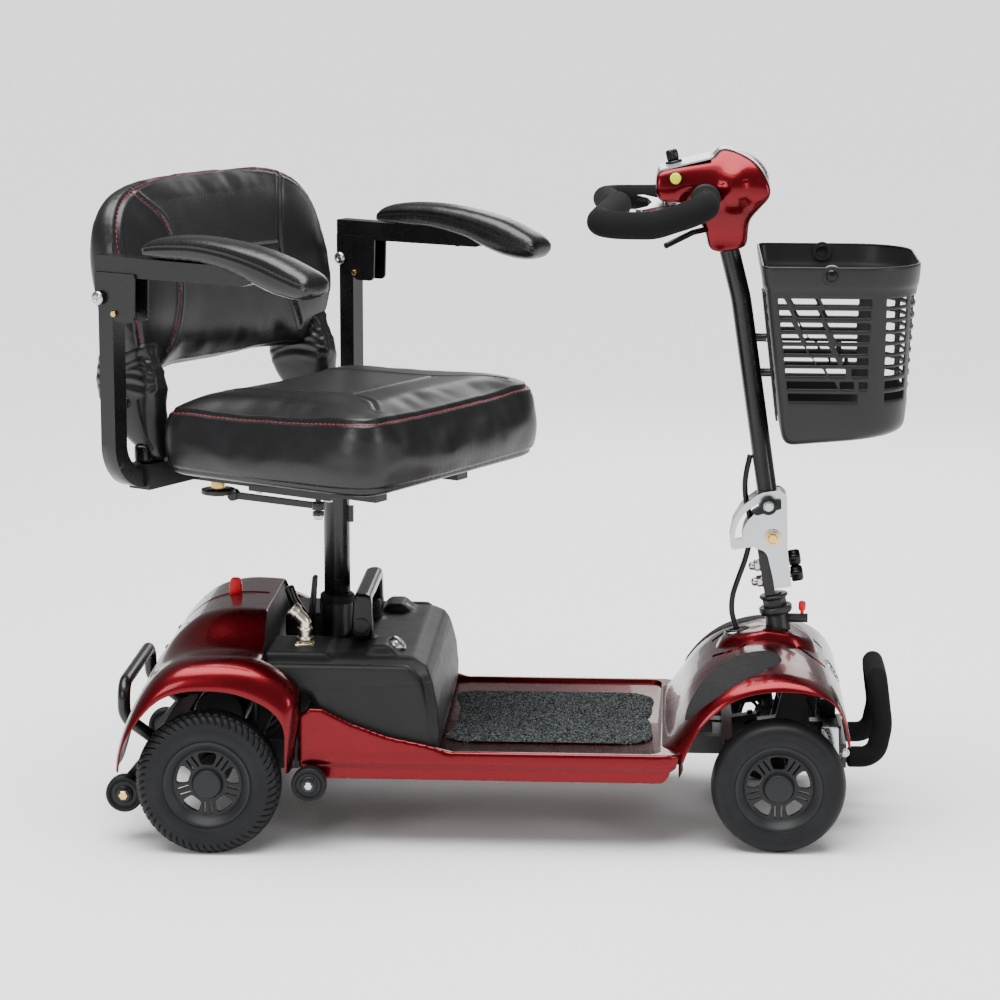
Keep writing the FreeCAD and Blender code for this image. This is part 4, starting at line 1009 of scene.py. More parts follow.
NOSE = [(228, 141.5), (236, 150), (250, 176), (264, 205), (283, 228), (306, 245), (336, 258), (372, 265),
        (405, 260), (435, 247), (460, 225), (477, 196), (485, 165), (486, 145)]
NOSE_LIP = [(258, 126), (262, 138), (267, 150), (281, 176), (304, 200), (330, 217), (360, 226), (390, 229),
            (418, 228), (442, 224), (461, 215), (474, 197), (483, 170), (486, 150)]
CROWN = [0, .3, .7, 1, 1, 1, 1, 1, 1, 1, .9, .6, .3, 0]
CROWN_SHAPE = [(0, 0), (60, .01), (85, .05), (110, .13), (140, .24), (165, .37)]
ROLL = [(165, 0), (176, .1), (186, .3), (193, .5), (198, .75), (200.4, 1)]
NARROW_AT, NARROW = [0, 9, 11, 12, 13], [1, 1, .99, .965, .94]
STEERING_UP = (-math.sin(RAKE), 0, math.cos(RAKE))
LAMP, LAMP_AXIS = (466, 0, 210), (0.87, 0, 0.5)


def nose_sheet(columns=60):
    """Outer skin of the front shroud: rows along its length, columns across."""
    top = through(NOSE, PER_SPAN)
    lip = through(NOSE_LIP, PER_SPAN)
    station = np.arange(len(top)) / PER_SPAN
    rise = np.interp(station, range(len(CROWN)), CROWN)
    narrow = np.interp(station, NARROW_AT, NARROW)
    flat_y = ROLL[0][0]
    ys = np.concatenate([np.linspace(0, flat_y, columns // 2), through(ROLL, 3)[1:, 0]])
    table_y, table_f = zip(*CROWN_SHAPE)
    roll_y, roll_f = zip(*ROLL)
    half = np.empty((len(top), len(ys), 3))
    for j, y in enumerate(ys):
        base = rise * np.interp(min(y, flat_y), table_y, table_f)
        part = base + (1 - base) * np.interp(y, roll_y, roll_f)
        section = top + (lip - top) * part[:, None]
        half[:, j] = np.stack([section[:, 0], -y * narrow, section[:, 1]], 1)
    return mirrored_columns(half)


def vent(s, x0, x1):
    """Tool for one of the curved slots in the nose."""
    line = curve([(x0, s * 44), ((x0 + x1) / 2, s * 62), (x1, s * 56)], 9)
    outline = [(x, y - 6) for x, y in line] + [(x, y + 6) for x, y in line[::-1]]
    return prism("vent", outline, 190, 300, as_is, 0)


def front_shroud():
    """Nose of the body over the front wheels, with holes for the column, the lamp and the vents."""
    obj = tidy(grid("front_shroud", nose_sheet()))
    facing_up(obj)
    modifier(obj, "SMOOTH", factor=0.4, iterations=3)
    modifier(obj, "SOLIDIFY", thickness=SKIN * MM, offset=-1)
    modifier(obj, "SUBSURF", levels=1)
    apply_all(obj)
    column = [(-90, 0.01), (-90, 24), (30, 24), (30, 0.01)]
    lamp = [(-20, 0.01), (-20, 17.6), (25, 17.6), (25, 0.01)]
    holes = [turned("column", column, raked([(0, 0, 0)])[0], STEERING_UP),
             turned("lamp", lamp, LAMP, LAMP_AXIS)]
    for _, s in SIDES:
        holes += [vent(s, 298, 344), vent(s, 414, 456)]
    cut(obj, holes)
    smoothed_normals(obj, 40)
    place(obj, "chassis", "candy_red", "candy_red", ["front_shroud"])
    column_fairing()


FAIRING_HALF = [(304, 20), (352, 46), (424, 40), (446, 14)]
FAIRING_STEPS = [(1.12, -14), (1.06, -5), (1.0, 3), (0.95, 9), (0.9, 12), (0.8, 13.2), (0.6, 13.6),
                 (0.3, 13.8)]
NOSE_TOP = [[290, 330, 372, 405, 435, 460], [234, 254.5, 264.5, 260, 247, 226]]
GROMMET = (334, 0, 268)


def column_fairing():
    """Raised form round the foot of the steering column, and the grommet of the cable."""
    corners = [(x, -y) for x, y in FAIRING_HALF] + FAIRING_HALF[::-1]
    outline = evenly(rounded_outline(corners, [14, 16, 16, 12, 12, 16, 16, 14]), 120, True)
    centre = np.array([388.0, 0.0])
    rings = []
    for scale, rise in FAIRING_STEPS:
        ring = centre + (outline - centre) * scale
        rings.append(np.column_stack([ring, np.interp(ring[:, 0], *NOSE_TOP) + rise]))
    obj = capped("column_fairing", rings)
    smoothed_normals(obj, 50)
    place(obj, "chassis", "candy_red", "candy_red")
    x0, _, z0 = GROMMET
    turn = np.linspace(0, 2 * math.pi, 40)
    loop = [(x0 + 15 * math.cos(t), 8 * math.sin(t), z0 + 3.2 * math.cos(t)) for t in turn[:-1]]
    edge = [(x0 + (x - x0) * 1.22, y * 1.32, z - 1.2) for x, y, z in loop]
    place(ring_of("cable_grommet", loop, 3.0), "chassis", "gloss_black")
    place(ring_of("grommet_edge", edge, 1.3), "chassis", "zinc")


def ring_of(name, loop, radius, sides=14):
    """A closed round ring along a loop of points."""
    p = np.asarray(loop, float)
    ahead = np.roll(p, -1, 0) - np.roll(p, 1, 0)
    ahead /= np.linalg.norm(ahead, axis=1)[:, None]
    up = np.array([0.0, 0.0, 1.0])
    side = np.cross(ahead, up)
    side /= np.linalg.norm(side, axis=1)[:, None]
    top = np.cross(side, ahead)
    turn = full_turn(sides)
    points = (p[:, None] + radius * (np.cos(turn)[None, :, None] * side[:, None]
                                     + np.sin(turn)[None, :, None] * top[:, None]))
    return tidy(grid(name, points, wrap_rows=True, wrap_columns=True), 1e-7)


# ---- tiller head --------------------------------------------------------------
HEAD = [(211, 911), (212, 888), (220, 878), (243, 876), (256, 866), (278, 838), (289, 809), (332, 813),
        (338, 826), (340, 850), (352, 868), (367, 886), (366, 902), (353, 926), (334, 941), (302, 951),
        (286, 937), (247, 927.5), (217, 920)]
HEAD_SIDE = mirrored([(29, 800), (29, 818), (33, 836), (43, 856), (55, 876), (59, 898), (54, 922), (42, 940),
                      (24, 952)])
DENT = [(-30, 0.01), (-26, 12), (-14, 21), (0, 26), (14, 27), (14, 0.01)]
BULB, BULB_HALF, BULB_R = (318, 0, 898), 66, 50
GRIP_START = (279, 0, 884)
GRIP_HOLE = [(60, 0.01), (60, 18.6), (100, 18.6), (100, 0.01)]
GRIP_COLLAR = [(62, 10), (62, 20.5), (67, 21), (70, 19), (70, 10)]
HORN = (238, -62, 912)
HORN_HOLE = [(-2, 0.01), (-2, 9), (20, 9), (20, 0.01)]


def from_side(p):
    """Outline in (x, z), thickness along y."""
    return np.stack([p[:, 0], p[:, 2], p[:, 1]], 1)


def from_end(p):
    """Outline in (y, z), thickness along x."""
    return np.stack([p[:, 2], p[:, 0], p[:, 1]], 1)


def overlap(first, second):
    """What two forms have in common."""
    modifier(first, "BOOLEAN", object=second, operation="INTERSECT", solver="EXACT")
    apply_all(first)
    bpy.data.objects.remove(second)
    return first


def head_seam(p):
    """Distance from the line where the two halves of the head meet, in millimetres."""
    return p[:, 2] * 1000 - 905 - (p[:, 0] * 1000 - 300) * 0.12


def tiller_head():
    """Rounded housing on top of the tiller, with a bulb in front and dents where the grips go in."""
    body = prism("tiller_shell", curve(HEAD, 90, True), -80, 80, from_side, 0)
    body = overlap(body, prism("across", curve(HEAD_SIDE, 80, True), 180, 400, from_end, 0))
    cut(body, [lathe("dent", DENT, (262, s * 72, 876), (0, s, 0.0), 48) for _, s in SIDES])
    angle = np.linspace(-math.pi / 2, math.pi / 2, 24)
    profile = np.stack([BULB_HALF * np.sin(angle), BULB_R * np.cos(angle) + 0.01], 1)
    body = joined("tiller_shell", [body, lathe("bulb", profile, BULB, (0, 1, 0), 64)])
    remeshed(body, voxel=2.0, rounds=60)
    holes = [turned("grip_hole", GRIP_HOLE, GRIP_START, (0, s, 0)) for _, s in SIDES]
    cut(body, holes + [turned("button_hole", HORN_HOLE, HORN, (0, -1, 0))])
    seam(body, head_seam, lambda p: p[:, 0] > 0.282, depth=0.9, width=0.8)
    smoothed_normals(body, 50)
    place(body, "tiller", "candy_red", "candy_red", ["tiller_shell"])
    for name, s in SIDES:
        fitted("grip_collar_" + name, "tiller", "soft_black", GRIP_COLLAR, GRIP_START, (0, s, 0), 1.2, 64)


def seam(obj, distance, where, depth, width):
    """Press a fine line into a surface. distance is in millimetres from the line."""
    p = co(obj)
    far = np.abs(distance(p))
    amount = depth * MM * np.clip(1 - far / width, 0, 1) * where(p)
    set_co(obj, p - normals(obj) * amount[:, None])


GRIP = [(279, -66, 884), (279, -195, 884), (212, -195, 861), (133, -195, 861), (158, 0, 868)]
GRIP_BENDS = [38, 60, 38]
GRIP_PAST = 14


def filleted(points, radii, steps=14):
    """Straight runs whose inner corners are rounded to the given radii."""
    p = np.asarray(points, float)
    out = [p[0]]
    for i in range(1, len(p) - 1):
        before, at, after = p[i - 1:i + 2]
        back = (before - at) / np.linalg.norm(before - at)
        ahead = (after - at) / np.linalg.norm(after - at)
        half = math.acos(np.clip(np.dot(back, ahead), -1, 1)) / 2
        reach = radii[i - 1] / math.tan(half)
        a, b = at + back * reach, at + ahead * reach
        weight = math.sin(half)
        for t in np.linspace(0, 1, steps):
            w = np.array([(1 - t) ** 2, 2 * t * (1 - t) * weight, t * t])
            out.append((w[0] * a + w[1] * at + w[2] * b) / w.sum())
    out.append(p[-1])
    return np.array(out)


def uneven(obj, scale):
    """The slight unevenness of foam."""
    p = co(obj)
    wave = np.array([noise.noise(Vector(q) * scale) for q in p])
    set_co(obj, p + normals(obj) * (wave * 0.5 * MM)[:, None])


def grip_line(s):
    """Middle line of one sleeve. The right one runs past the middle and covers the joint."""
    line = evenly(filleted(GRIP, GRIP_BENDS), 90)
    if s < 0:
        step = line[-1] - line[-2]
        line = np.vstack([line, line[-1] + step / np.linalg.norm(step) * GRIP_PAST])
    line[:, 1] *= -s
    return line


def handlebar_foam():
    """Two foam sleeves that meet in the middle of the closed handlebar."""
    for name, s in SIDES:
        obj = bar("grip_" + name, grip_line(s), 18.3 if s < 0 else 17.6, 4.0, 40)
        uneven(obj, 22)
        place(obj, "tiller", "foam", "foam", ["handlebar_foam"])


# ---- basket -------------------------------------------------------------------
SLOTS = [(753, (371, 388), (396, 433), (437, 503)), (737, (373, 395), (401, 436), (438, 502)),
         (720, (375, 399), (407, 440), (445, 502)), (704, (378, 407), (414, 444), (455, 501)),
         (688, (380, 416), (419, 449), (458, 499)), (672, (382, 427), (429, 458), (466, 500)),
         (657, (384, 442), (446, 470), (478, 500)), (639, (388, 458), (463, 482), (488, 500)),
         (622, (391, 487))]
SLOT_EDGES = [(5.2, True), (4.0, True), (-3.2, True), (-4.4, None)]
BASKET_TOP = [(801.5, -1.5), (802.4, 0.2), (801.5, 2.0), (797, 2.6), (786, 2.4), (773, 2.2), (771, 0.2),
              (764, 0)]
BASKET_FOOT = [(607, 0), (592, 0), (578, 0), (568, 0.4), (561, 2), (556, 5.5), (553, 10), (552, 16)]
BASKET_LOW = (552.0, 387.0, 556.0, 122.0)
BASKET_HIGH = (800.0, 357.0, 570.0, 146.0)
BACK_CORNER, FRONT_CORNER = 14.0, 78.0
BASKET_COLUMNS = 150
FLOOR_RISE = 15.0


def basket_size(z):
    """Rear, front and half width of the basket at a height."""
    t = (z - BASKET_LOW[0]) / (BASKET_HIGH[0] - BASKET_LOW[0])
    return [a + (b - a) * t for a, b in zip(BASKET_LOW[1:], BASKET_HIGH[1:])]


def basket_half_section(z, inset=0.0):
    """Half of the section, from the middle of the rear wall round one side to the middle of the front."""
    x0, x1, half = basket_size(z)
    x0, x1, half = x0 + inset, x1 - inset, half - inset
    r0, r1 = BACK_CORNER - inset * 0.6, FRONT_CORNER - inset * 0.6
    out = [(x0, 0.0), (x0, -(half - r0))]
    for t in np.linspace(0, math.pi / 2, 10)[1:]:
        out.append((x0 + r0 - r0 * math.cos(t), -(half - r0) - r0 * math.sin(t)))
    for t in np.linspace(0, math.pi / 2, 20):
        out.append((x1 - r1 + r1 * math.sin(t), -(half - r1) - r1 * math.cos(t)))
    out.append((x1, 0.0))
    return np.array(out)


def basket_marks(z):
    """Lengths along the half section where the slots of a row begin and end."""
    row = min(SLOTS, key=lambda s: abs(s[0] - z))
    run = travelled(basket_half_section(z))
    x0, x1, _ = basket_size(z)
    side_start, corner_start = run[10], run[11]
    slots = [(run[1] * 0.24, run[1] * 0.93)]
    straight = x1 - FRONT_CORNER

    def place_of(x):
        x = max(x, x0 + BACK_CORNER + 1)
        if x <= straight:
            return side_start + x - (x0 + BACK_CORNER)
        return corner_start + FRONT_CORNER * math.asin(min((x - straight) / FRONT_CORNER, 1))

    for a, b in row[1:]:
        slots.append((place_of(a), place_of(b)))
    slots.append((place_of(524), place_of(552)))
    slots.append((place_of(558), run[-1] - 34))
    slots.append((run[-1] - 28, run[-1] - 4))
    return run, slots


def slotted_row(z, row_z, run, slots):
    """Places of the columns along a row between the slots' ends, and which of them lie in a slot."""
    index, target = [0], [0.0]
    opening = np.zeros(BASKET_COLUMNS - 1, bool)
    lean = (row_z - z) * 0.5
    for a, b in slots:
        i = max(int(round(a / run[-1] * (BASKET_COLUMNS - 1))), index[-1] + 1)
        k = max(int(round(b / run[-1] * (BASKET_COLUMNS - 1))), i + 1)
        on_side = run[10] - 1 < a < run[11] - 20
        leans = (on_side and a > run[10] + 12, on_side and b < run[11] - 14)
        index += [i, k]
        target += [v + (lean if leaning else 0) for v, leaning in zip((a, b), leans)]
        opening[i:k] = True
    index.append(BASKET_COLUMNS - 1)
    target.append(run[-1])
    return np.interp(np.arange(BASKET_COLUMNS), index, target), opening


def basket_rows():
    """Rows of points down one half of the wall, and which of the faces below each row stay."""
    levels = [(z + up, kind) for z, *_ in SLOTS for up, kind in SLOT_EDGES]
    levels.sort(key=lambda level: -level[0])
    plan = [(z, -out, None) for z, out in BASKET_TOP] + [(z, 0.0, kind) for z, kind in levels]
    plan += [(z, inset, None) for z, inset in BASKET_FOOT]
    low, high = BASKET_FOOT[0][0], BASKET_TOP[-1][0]
    rows, keep = [], []
    for z, inset, kind in plan:
        row_z = min((s[0] for s in SLOTS), key=lambda v: abs(v - z))
        run, slots = basket_marks(row_z)
        here = basket_half_section(z, inset)
        here_run = travelled(here)
        along = np.linspace(0, run[-1], BASKET_COLUMNS)
        opening = np.zeros(BASKET_COLUMNS - 1, bool)
        if kind is not None or low < z < high:
            along, opening = slotted_row(z, row_z, run, slots)
        along = along / run[-1] * here_run[-1]
        xy = np.stack([np.interp(along, here_run, here[:, 0]), np.interp(along, here_run, here[:, 1])], 1)
        forward = (xy[:, 0] - BASKET_LOW[1]) / (BASKET_LOW[2] - BASKET_LOW[1])
        rows.append(np.column_stack([xy, z + FLOOR_RISE * forward * max(low - z, 0) / (low - BASKET_LOW[0])]))
        keep.append(~opening if kind else np.ones(BASKET_COLUMNS - 1, bool))
    return np.array(rows), np.array(keep)[:-1]


def basket_wall():
    """The moulded basket: a slotted wall round a flat floor that rises towards the front."""
    half, kept = basket_rows()
    far = half[:, -2:0:-1].copy()
    far[:, :, 1] *= -1
    wall = grid("basket", np.concatenate([half, far], axis=1), wrap_columns=True,
                keep=np.concatenate([kept, kept[:, ::-1]], axis=1))
    share = np.linspace(0, 1, 16)[None, :, None]
    near = half[-1][:, None]
    floor = near * (1 - share) + near * [1, -1, 1] * share
    obj = tidy(joined("basket", [wall, grid("floor", floor)]))
    modifier(obj, "SOLIDIFY", thickness=2.8 * MM, offset=-1)
    modifier(obj, "SUBSURF", levels=1)
    apply_all(obj)
    return smoothed_normals(obj, 45)


BASKET_BOSS = [(-3, 8), (-3, 13.5), (5.5, 12.8), (6.4, 11.6), (6.4, 8)]
BASKET_PLUG = [(-4, 0.01), (-4, 8.6), (6.5, 8.2), (8.8, 6.2), (9.4, 0.01)]


def basket():
    """The basket, with a boss and a plug in the rim on each side."""
    obj = basket_wall()
    place(obj, "basket", "basket_plastic", "basket_plastic", ["basket"])
    for name, s in SIDES:
        centre, out = (448, s * 142.5, 791), (0, s, 0)
        fitted("basket_boss_" + name, "basket", "basket_plastic", BASKET_BOSS, centre, out, 0.8, 64)
        fitted("basket_plug_" + name, "basket", "gloss_black", BASKET_PLUG, centre, out)


# ---- small covers: mat, pads, foam ---------------------------------------------
MAT = [(-76, -118), (-52, -137), (190, -137), (217, -112), (213, -24), (206, 0), (213, 24), (217, 112),
       (190, 137), (-52, 137), (-76, 118), (-62, 60), (-62, -60)]
MAT_ROUND = [14, 20, 20, 16, 8, 6, 8, 16, 20, 20, 14, 30, 30]
MAT_LOW, MAT_PILE = 135.2, 138.0
RIB_PITCH = 6.2


def rounded_outline(points, radii, steps=8):
    """A closed outline with rounded corners."""
    n = len(points)
    out = []
    for i in range(n):
        before, at, after = (np.array(points[(i + k) % n], float) for k in (-1, 0, 1))
        back, ahead = before - at, after - at
        reach = min(radii[i], 0.49 * np.linalg.norm(back), 0.49 * np.linalg.norm(ahead))
        a, b = at + back / np.linalg.norm(back) * reach, at + ahead / np.linalg.norm(ahead) * reach
        out += [(1 - t) ** 2 * a + 2 * t * (1 - t) * at + t * t * b for t in np.linspace(0, 1, steps)]
    return np.array(out)


def inside(outline, p):
    """How far points lie inside an outline, in millimetres (negative outside)."""
    x, y = p[:, 0], p[:, 1]
    far = np.full(len(p), 1e9)
    within = np.zeros(len(p), bool)
    for (ax, ay), (bx, by) in zip(outline, np.roll(outline, -1, 0)):
        dx, dy = bx - ax, by - ay
        t = np.clip(((x - ax) * dx + (y - ay) * dy) / max(dx * dx + dy * dy, 1e-9), 0, 1)
        far = np.minimum(far, np.hypot(x - ax - t * dx, y - ay - t * dy))
        if ay != by:
            within ^= ((ay > y) != (by > y)) & (x < (bx - ax) * (y - ay) / (by - ay) + ax)
    return np.where(within, far, -far)


def mat_height(gx, gy, depth):
    """Height of the carpet: soft ribs with some jitter, rounded off at the edge."""
    ribs = 0.5 + 0.5 * np.cos(gy * 2 * math.pi / RIB_PITCH)
    jitter = [noise.noise(Vector((x * 0.45, y * 0.45, 0))) for x, y in zip(gx.ravel(), gy.ravel())]
    height = MAT_PILE + 1.9 * ribs + 0.9 * np.array(jitter).reshape(gx.shape)
    edge = np.clip(depth / 3.0, 0, 1)
    return MAT_LOW + (height - MAT_LOW) * np.sqrt(1 - (1 - edge) ** 2)


def deck_mat():
    """Ribbed carpet on the deck. Points just outside its outline are drawn onto it."""
    outline = evenly(rounded_outline(MAT, MAT_ROUND), 420, True)
    gx, gy = np.meshgrid(np.arange(-78, 219, 3.2), np.arange(-138.4, 138.5, 1.55), indexing="ij")
    depth = inside(outline, np.stack([gx.ravel(), gy.ravel()], 1)).reshape(gx.shape)
    near = depth > -1.0
    keep = near[:-1, :-1] & near[1:, 1:] & near[:-1, 1:] & near[1:, :-1]
    points = np.stack([gx, gy, mat_height(gx, gy, depth)], 2)
    obj = grid("deck_mat", points, keep=np.pad(keep, ((0, 0), (0, 1))))
    p = co(obj)
    far = inside(outline, p[:, :2] * 1000)
    edge = KDTree(len(outline))
    for i, (x, y) in enumerate(outline):
        edge.insert(Vector((x * MM, y * MM, 0)), i)
    edge.balance()
    for i in np.nonzero(far < 0)[0]:
        spot = edge.find(Vector((p[i, 0], p[i, 1], 0)))[0]
        p[i] = spot.x, spot.y, MAT_LOW * MM
    set_co(obj, p)
    tidy(obj)
    facing_up(obj)
    place(obj, "chassis", "carpet", "carpet", ["deck_mat"])


PAD_OUTLINE = [(258, -176), (300, -192), (360, -174), (396, -138), (388, -100), (340, -90), (294, -106),
               (260, -140)]
PAD_ROUND = [22, 34, 30, 20, 22, 30, 34, 22]
PAD_LIFT = (-0.6, 1.0, 1.6)


def grip_pads():
    """Two anti-slip pads that lie on the nose, one on each side."""
    sheet = nose_sheet(90)
    tree = BVHTree.FromPolygons([Vector(q * MM) for q in sheet.reshape(-1, 3)], grid_faces(*sheet.shape[:2]))
    outline = evenly(rounded_outline(PAD_OUTLINE, PAD_ROUND), 160, True)
    centre = outline.mean(0)
    for name, s in SIDES:
        points = []
        for k, scale in enumerate(np.linspace(1, 0.02, 26)):
            for x, y in centre + (outline - centre) * scale:
                spot, up, *_ = tree.ray_cast(Vector((x * MM, y * -s * MM, 0.4)), Vector((0, 0, -1)))
                up = up if up.z > 0 else -up
                points.append((spot + up * PAD_LIFT[min(k, 2)] * MM) * 1000)
        rings = np.array(points).reshape(-1, len(outline), 3)
        obj = tidy(grid("grip_pad_" + name, rings, wrap_columns=True))
        facing_up(obj)
        place(obj, "chassis", "anti_slip", "anti_slip", ["grip_pads"])


def bumper_foam():
    """Foam sleeve round the front bumper's hoop."""
    y = 67.0
    side = [(527, y, 104), (536, y, 150), (528, y, 214)]
    line = side + [(x, -y, z) for x, _, z in reversed(side)]
    line = [(488, y, 104)] + line + [(488, -y, 104)]
    path = evenly(filleted(line, [24, 60, 22, 22, 60, 24]), 150)
    obj = bar("bumper_foam", path, 14.6, 4.0, 40)
    uneven(obj, 25)
    place(obj, "chassis", "foam", "foam", ["bumper_foam"])


# ---- battery ------------------------------------------------------------------
BATTERY_SIDE = [(-318, 236), (-318, 258), (-306, 264), (-180, 264), (-112, 262), (-94, 252), (-86, 236),
                (-78, 202), (-75, 168), (-76, 137), (-222, 137), (-240, 170), (-256, 214), (-290, 226)]
BATTERY_END = mirrored([(199, 130), (198, 176), (194, 214), (184, 244), (166, 260), (146, 265)])
POD = [(-183, 250), (-179, 271), (-170, 276), (-150, 276), (-138, 266), (-122, 244), (-116, 226), (-183, 226)]
LEDGE = [(-318, 226), (-318, 268), (-232, 268), (-218, 250), (-226, 226)]
CHEEK = [(-318, 240), (-318, 258), (-118, 258), (-100, 236), (-90, 190), (-88, 140), (-214, 140), (-252, 218)]
SOCKET = (-268, -118)
LID_SLOPE = (0.72, 0, 0.69)
CHARGE_PORT = (-146, -122, 262)


def lid_seam(p):
    """Distance from the line between the case and its lid, in millimetres."""
    return (p[:, 2] * 1000 - 233) - (p[:, 0] * 1000 + 120) * 0.06


def battery_box():
    """The battery case: a sloped body with pods, ledges and cheeks on both sides of the bay for the post."""
    body = prism("battery_box", BATTERY_SIDE, -215, 215, from_side, 0)
    body = overlap(body, prism("across", BATTERY_END, -340, -50, from_end, 0))
    cut(body, [box("bay", (-330, -62, 100), (-208, 62, 300), 0)])
    parts = [body]
    for _, s in SIDES:
        low, high = sorted((s * 50, s * 72))
        parts.append(prism("pod", POD, *sorted((s * 97, s * 158)), from_side, 6))
        parts.append(prism("ledge", LEDGE, *sorted((s * 66, s * 172)), from_side, 4))
        parts.append(box("boss", (-206, low, 250), (-178, high, 293), 4))
        parts.append(prism("cheek", CHEEK, *sorted((s * 186, s * 203)), from_side, 5))
    body = joined("battery_box", parts)
    remeshed(body, voxel=2.6, rounds=11)
    seam(body, lid_seam, lambda p: np.abs(p[:, 1]) > 0.06, depth=0.9, width=1.8)
    smoothed_normals(body, 60)
    place(body, "battery", "black_plastic", "black_plastic", ["battery_box"])


def battery_plug():
    """The metal cable connector on the battery, with its plate, rings and nut."""
    x, y = SOCKET
    z = 267
    place(box("connector_plate", (x - 13, y - 13, z - 1), (x + 13, y + 13, z + 3), 1.2), "battery", "nickel")
    for i, (dx, dy) in enumerate(((-9, -9), (9, -9), (-9, 9), (9, 9))):
        dome_bolt("connector_screw_%d" % i, (x + dx, y + dy, z + 3), (0, 0, 1), 2.6, 1.8, "battery", "brass")
    line = filleted([(x, y, z + 2), (x, y, 300), (x - 18, y, 318)], [9])
    place(bar("connector_elbow", evenly(line, 30), 9, 2), "battery", "nickel")
    for k, (height, r) in enumerate(((275, 12), (289, 11))):
        fitted("connector_ring_%d" % k, "battery", "nickel", [(-3, 8), (-3, r), (3, r), (3, 8)],
               (x, y, height), (0, 0, 1), 0.8, 32)
    fitted("connector_nut", "battery", "nickel", [(-3, 6), (-3, 11.5), (7, 11.5), (8, 6)], (x - 13, y, 313),
           (-0.7, 0, 0.7), 1.2, 32)


def battery_details():
    """Connector, charging socket and caps on the battery."""
    battery_plug()
    stalk = bar("socket_stalk", [(-297, -60, 336), (-291, -60, 318), (-280, -60, 300), (-274, -60, 262)], 7,
                2.5)
    place(stalk, "battery", "gloss_black")
    outline = rounded_outline([(-263, 352), (-256, 352), (-262, 268), (-272, 268)], [3, 3, 1, 1], 4)
    place(prism("socket_paddle", outline, -66, -54, from_side, 1.0), "battery", "gloss_black")
    fitted("charge_knob", "battery", "zinc",
           [(-6, 7), (0, 9.5), (4, 13.5), (9, 14), (15, 12.5), (18, 8), (18, 0.01)], CHARGE_PORT, LID_SLOPE,
           1.5)
    fitted("charge_collar", "battery", "gloss_black", [(-8, 17), (-1, 17.5), (2.5, 16), (3, 12), (-8, 10)],
           CHARGE_PORT, LID_SLOPE, 1.2)
    fitted("charge_cap", "battery", "gloss_black", [(-6, 15), (2, 15.5), (6, 13.5), (8, 7), (8.4, 0.01)],
           (-142, 118, 260), LID_SLOPE, 1.5)
    for name, s in SIDES:
        fitted("handle_plug_" + name, "battery_grip", "satin_black",
               [(-2, 11), (1.6, 11), (2.4, 9.6), (2.6, 0.01)], (-192, s * 93.4, 288), (0, s, 0), 0.6)


def battery_handle():
    """The carrying handle: two legs and a bar, melted into one."""
    outline = rounded_outline([(-207, 268), (-176, 268), (-178, 333), (-203, 333)], [12, 12, 10, 12])
    parts = [prism("leg", outline, *sorted((s * 72.8, s * 93)), from_side, 3) for _, s in SIDES]
    top = rounded_outline([(-203, 315), (-178.5, 315), (-178, 333), (-203, 333)], [8] * 4, 6)
    parts.append(prism("grip", top, -86, 86, from_side, 3))
    body = joined("battery_handle", parts)
    remeshed(body, voxel=1.6, rounds=8)
    smoothed_normals(body, 60)
    place(body, "battery_grip", "gloss_black", "gloss_black", ["battery_handle"])


# ---- upholstery ---------------------------------------------------------------
CLOTH = {"quality": 5, "mass": 0.3, "tension_stiffness": 12, "compression_stiffness": 12,
         "shear_stiffness": 6, "bending_stiffness": 12, "use_pressure": True}
CLOTH_STEPS = 20


def puffed(obj, voxel, reach, pressure=4.0, pinned=None, calm=20):
    """Blow a form up like a stuffed cover by cloth simulation. No point moves further than reach."""
    remeshed(obj, voxel, 4)
    before = co(obj)
    settings = modifier(obj, "CLOTH").settings
    for key, value in CLOTH.items():
        setattr(settings, key, value)
    settings.uniform_pressure_force = pressure
    settings.effector_weights.gravity = 0
    if pinned is not None:
        group = obj.vertex_groups.new(name="held")
        for i in np.nonzero(pinned(before * 1000))[0]:
            group.add([int(i)], 1.0, "REPLACE")
        settings.vertex_group_mass = "held"
    for step in range(CLOTH_STEPS):
        SCENE.frame_set(step + 1)
    apply_all(obj)
    SCENE.frame_set(1)
    move = co(obj) - before
    size = np.linalg.norm(move, axis=1)
    limit = reach * MM
    share = np.where(size > 1e-9, limit * np.tanh(size / limit) / np.maximum(size, 1e-9), 0)
    set_co(obj, before + move * share[:, None])
    obj.vertex_groups.clear()
    modifier(obj, "SMOOTH", factor=0.5, iterations=calm)
    modifier(obj, "SUBSURF", levels=1)
    return apply_all(obj)


def line_distance(line, points):
    """Distance of each point from the nearest point of a line."""
    tree = KDTree(len(line))
    for i, q in enumerate(line):
        tree.insert(Vector(q), i)
    tree.balance()
    return np.array([tree.find(Vector(p))[2] for p in points])


def crease(obj, lines, depth, width, puff=0.0):
    """Press sewn lines into a cover, with the cloth rising a little beside each of them."""
    p, n = co(obj), normals(obj)
    dense = np.vstack([evenly(line, max(int(length(line) / 1.5), 8)) for line in lines]) * MM
    far = line_distance(dense, p) * 1000
    amount = depth * np.exp(-(far / width) ** 2) - puff * np.exp(-((far - width * 2.4) / width) ** 2)
    set_co(obj, p - n * amount[:, None] * MM)


def length(line):
    """Length of a polyline."""
    return float(np.linalg.norm(np.diff(np.asarray(line, float), axis=0), axis=1).sum())


def wrinkle(obj, amount, scale, where=None, stretch=(1, 1, 1)):
    """Soft random relief. where gives its share at each point."""
    p, n = co(obj), normals(obj)
    spots = [Vector(q * stretch) * scale for q in p]
    wave = np.array([noise.noise(spot) + 0.5 * noise.noise(spot * 2.3) for spot in spots])
    if where is not None:
        wave = wave * where(p * 1000)
    set_co(obj, p + n * (wave * amount * MM)[:, None])


def surface(obj):
    """Search tree of a finished piece, for laying lines onto it."""
    return BVHTree.FromObject(obj, bpy.context.evaluated_depsgraph_get())


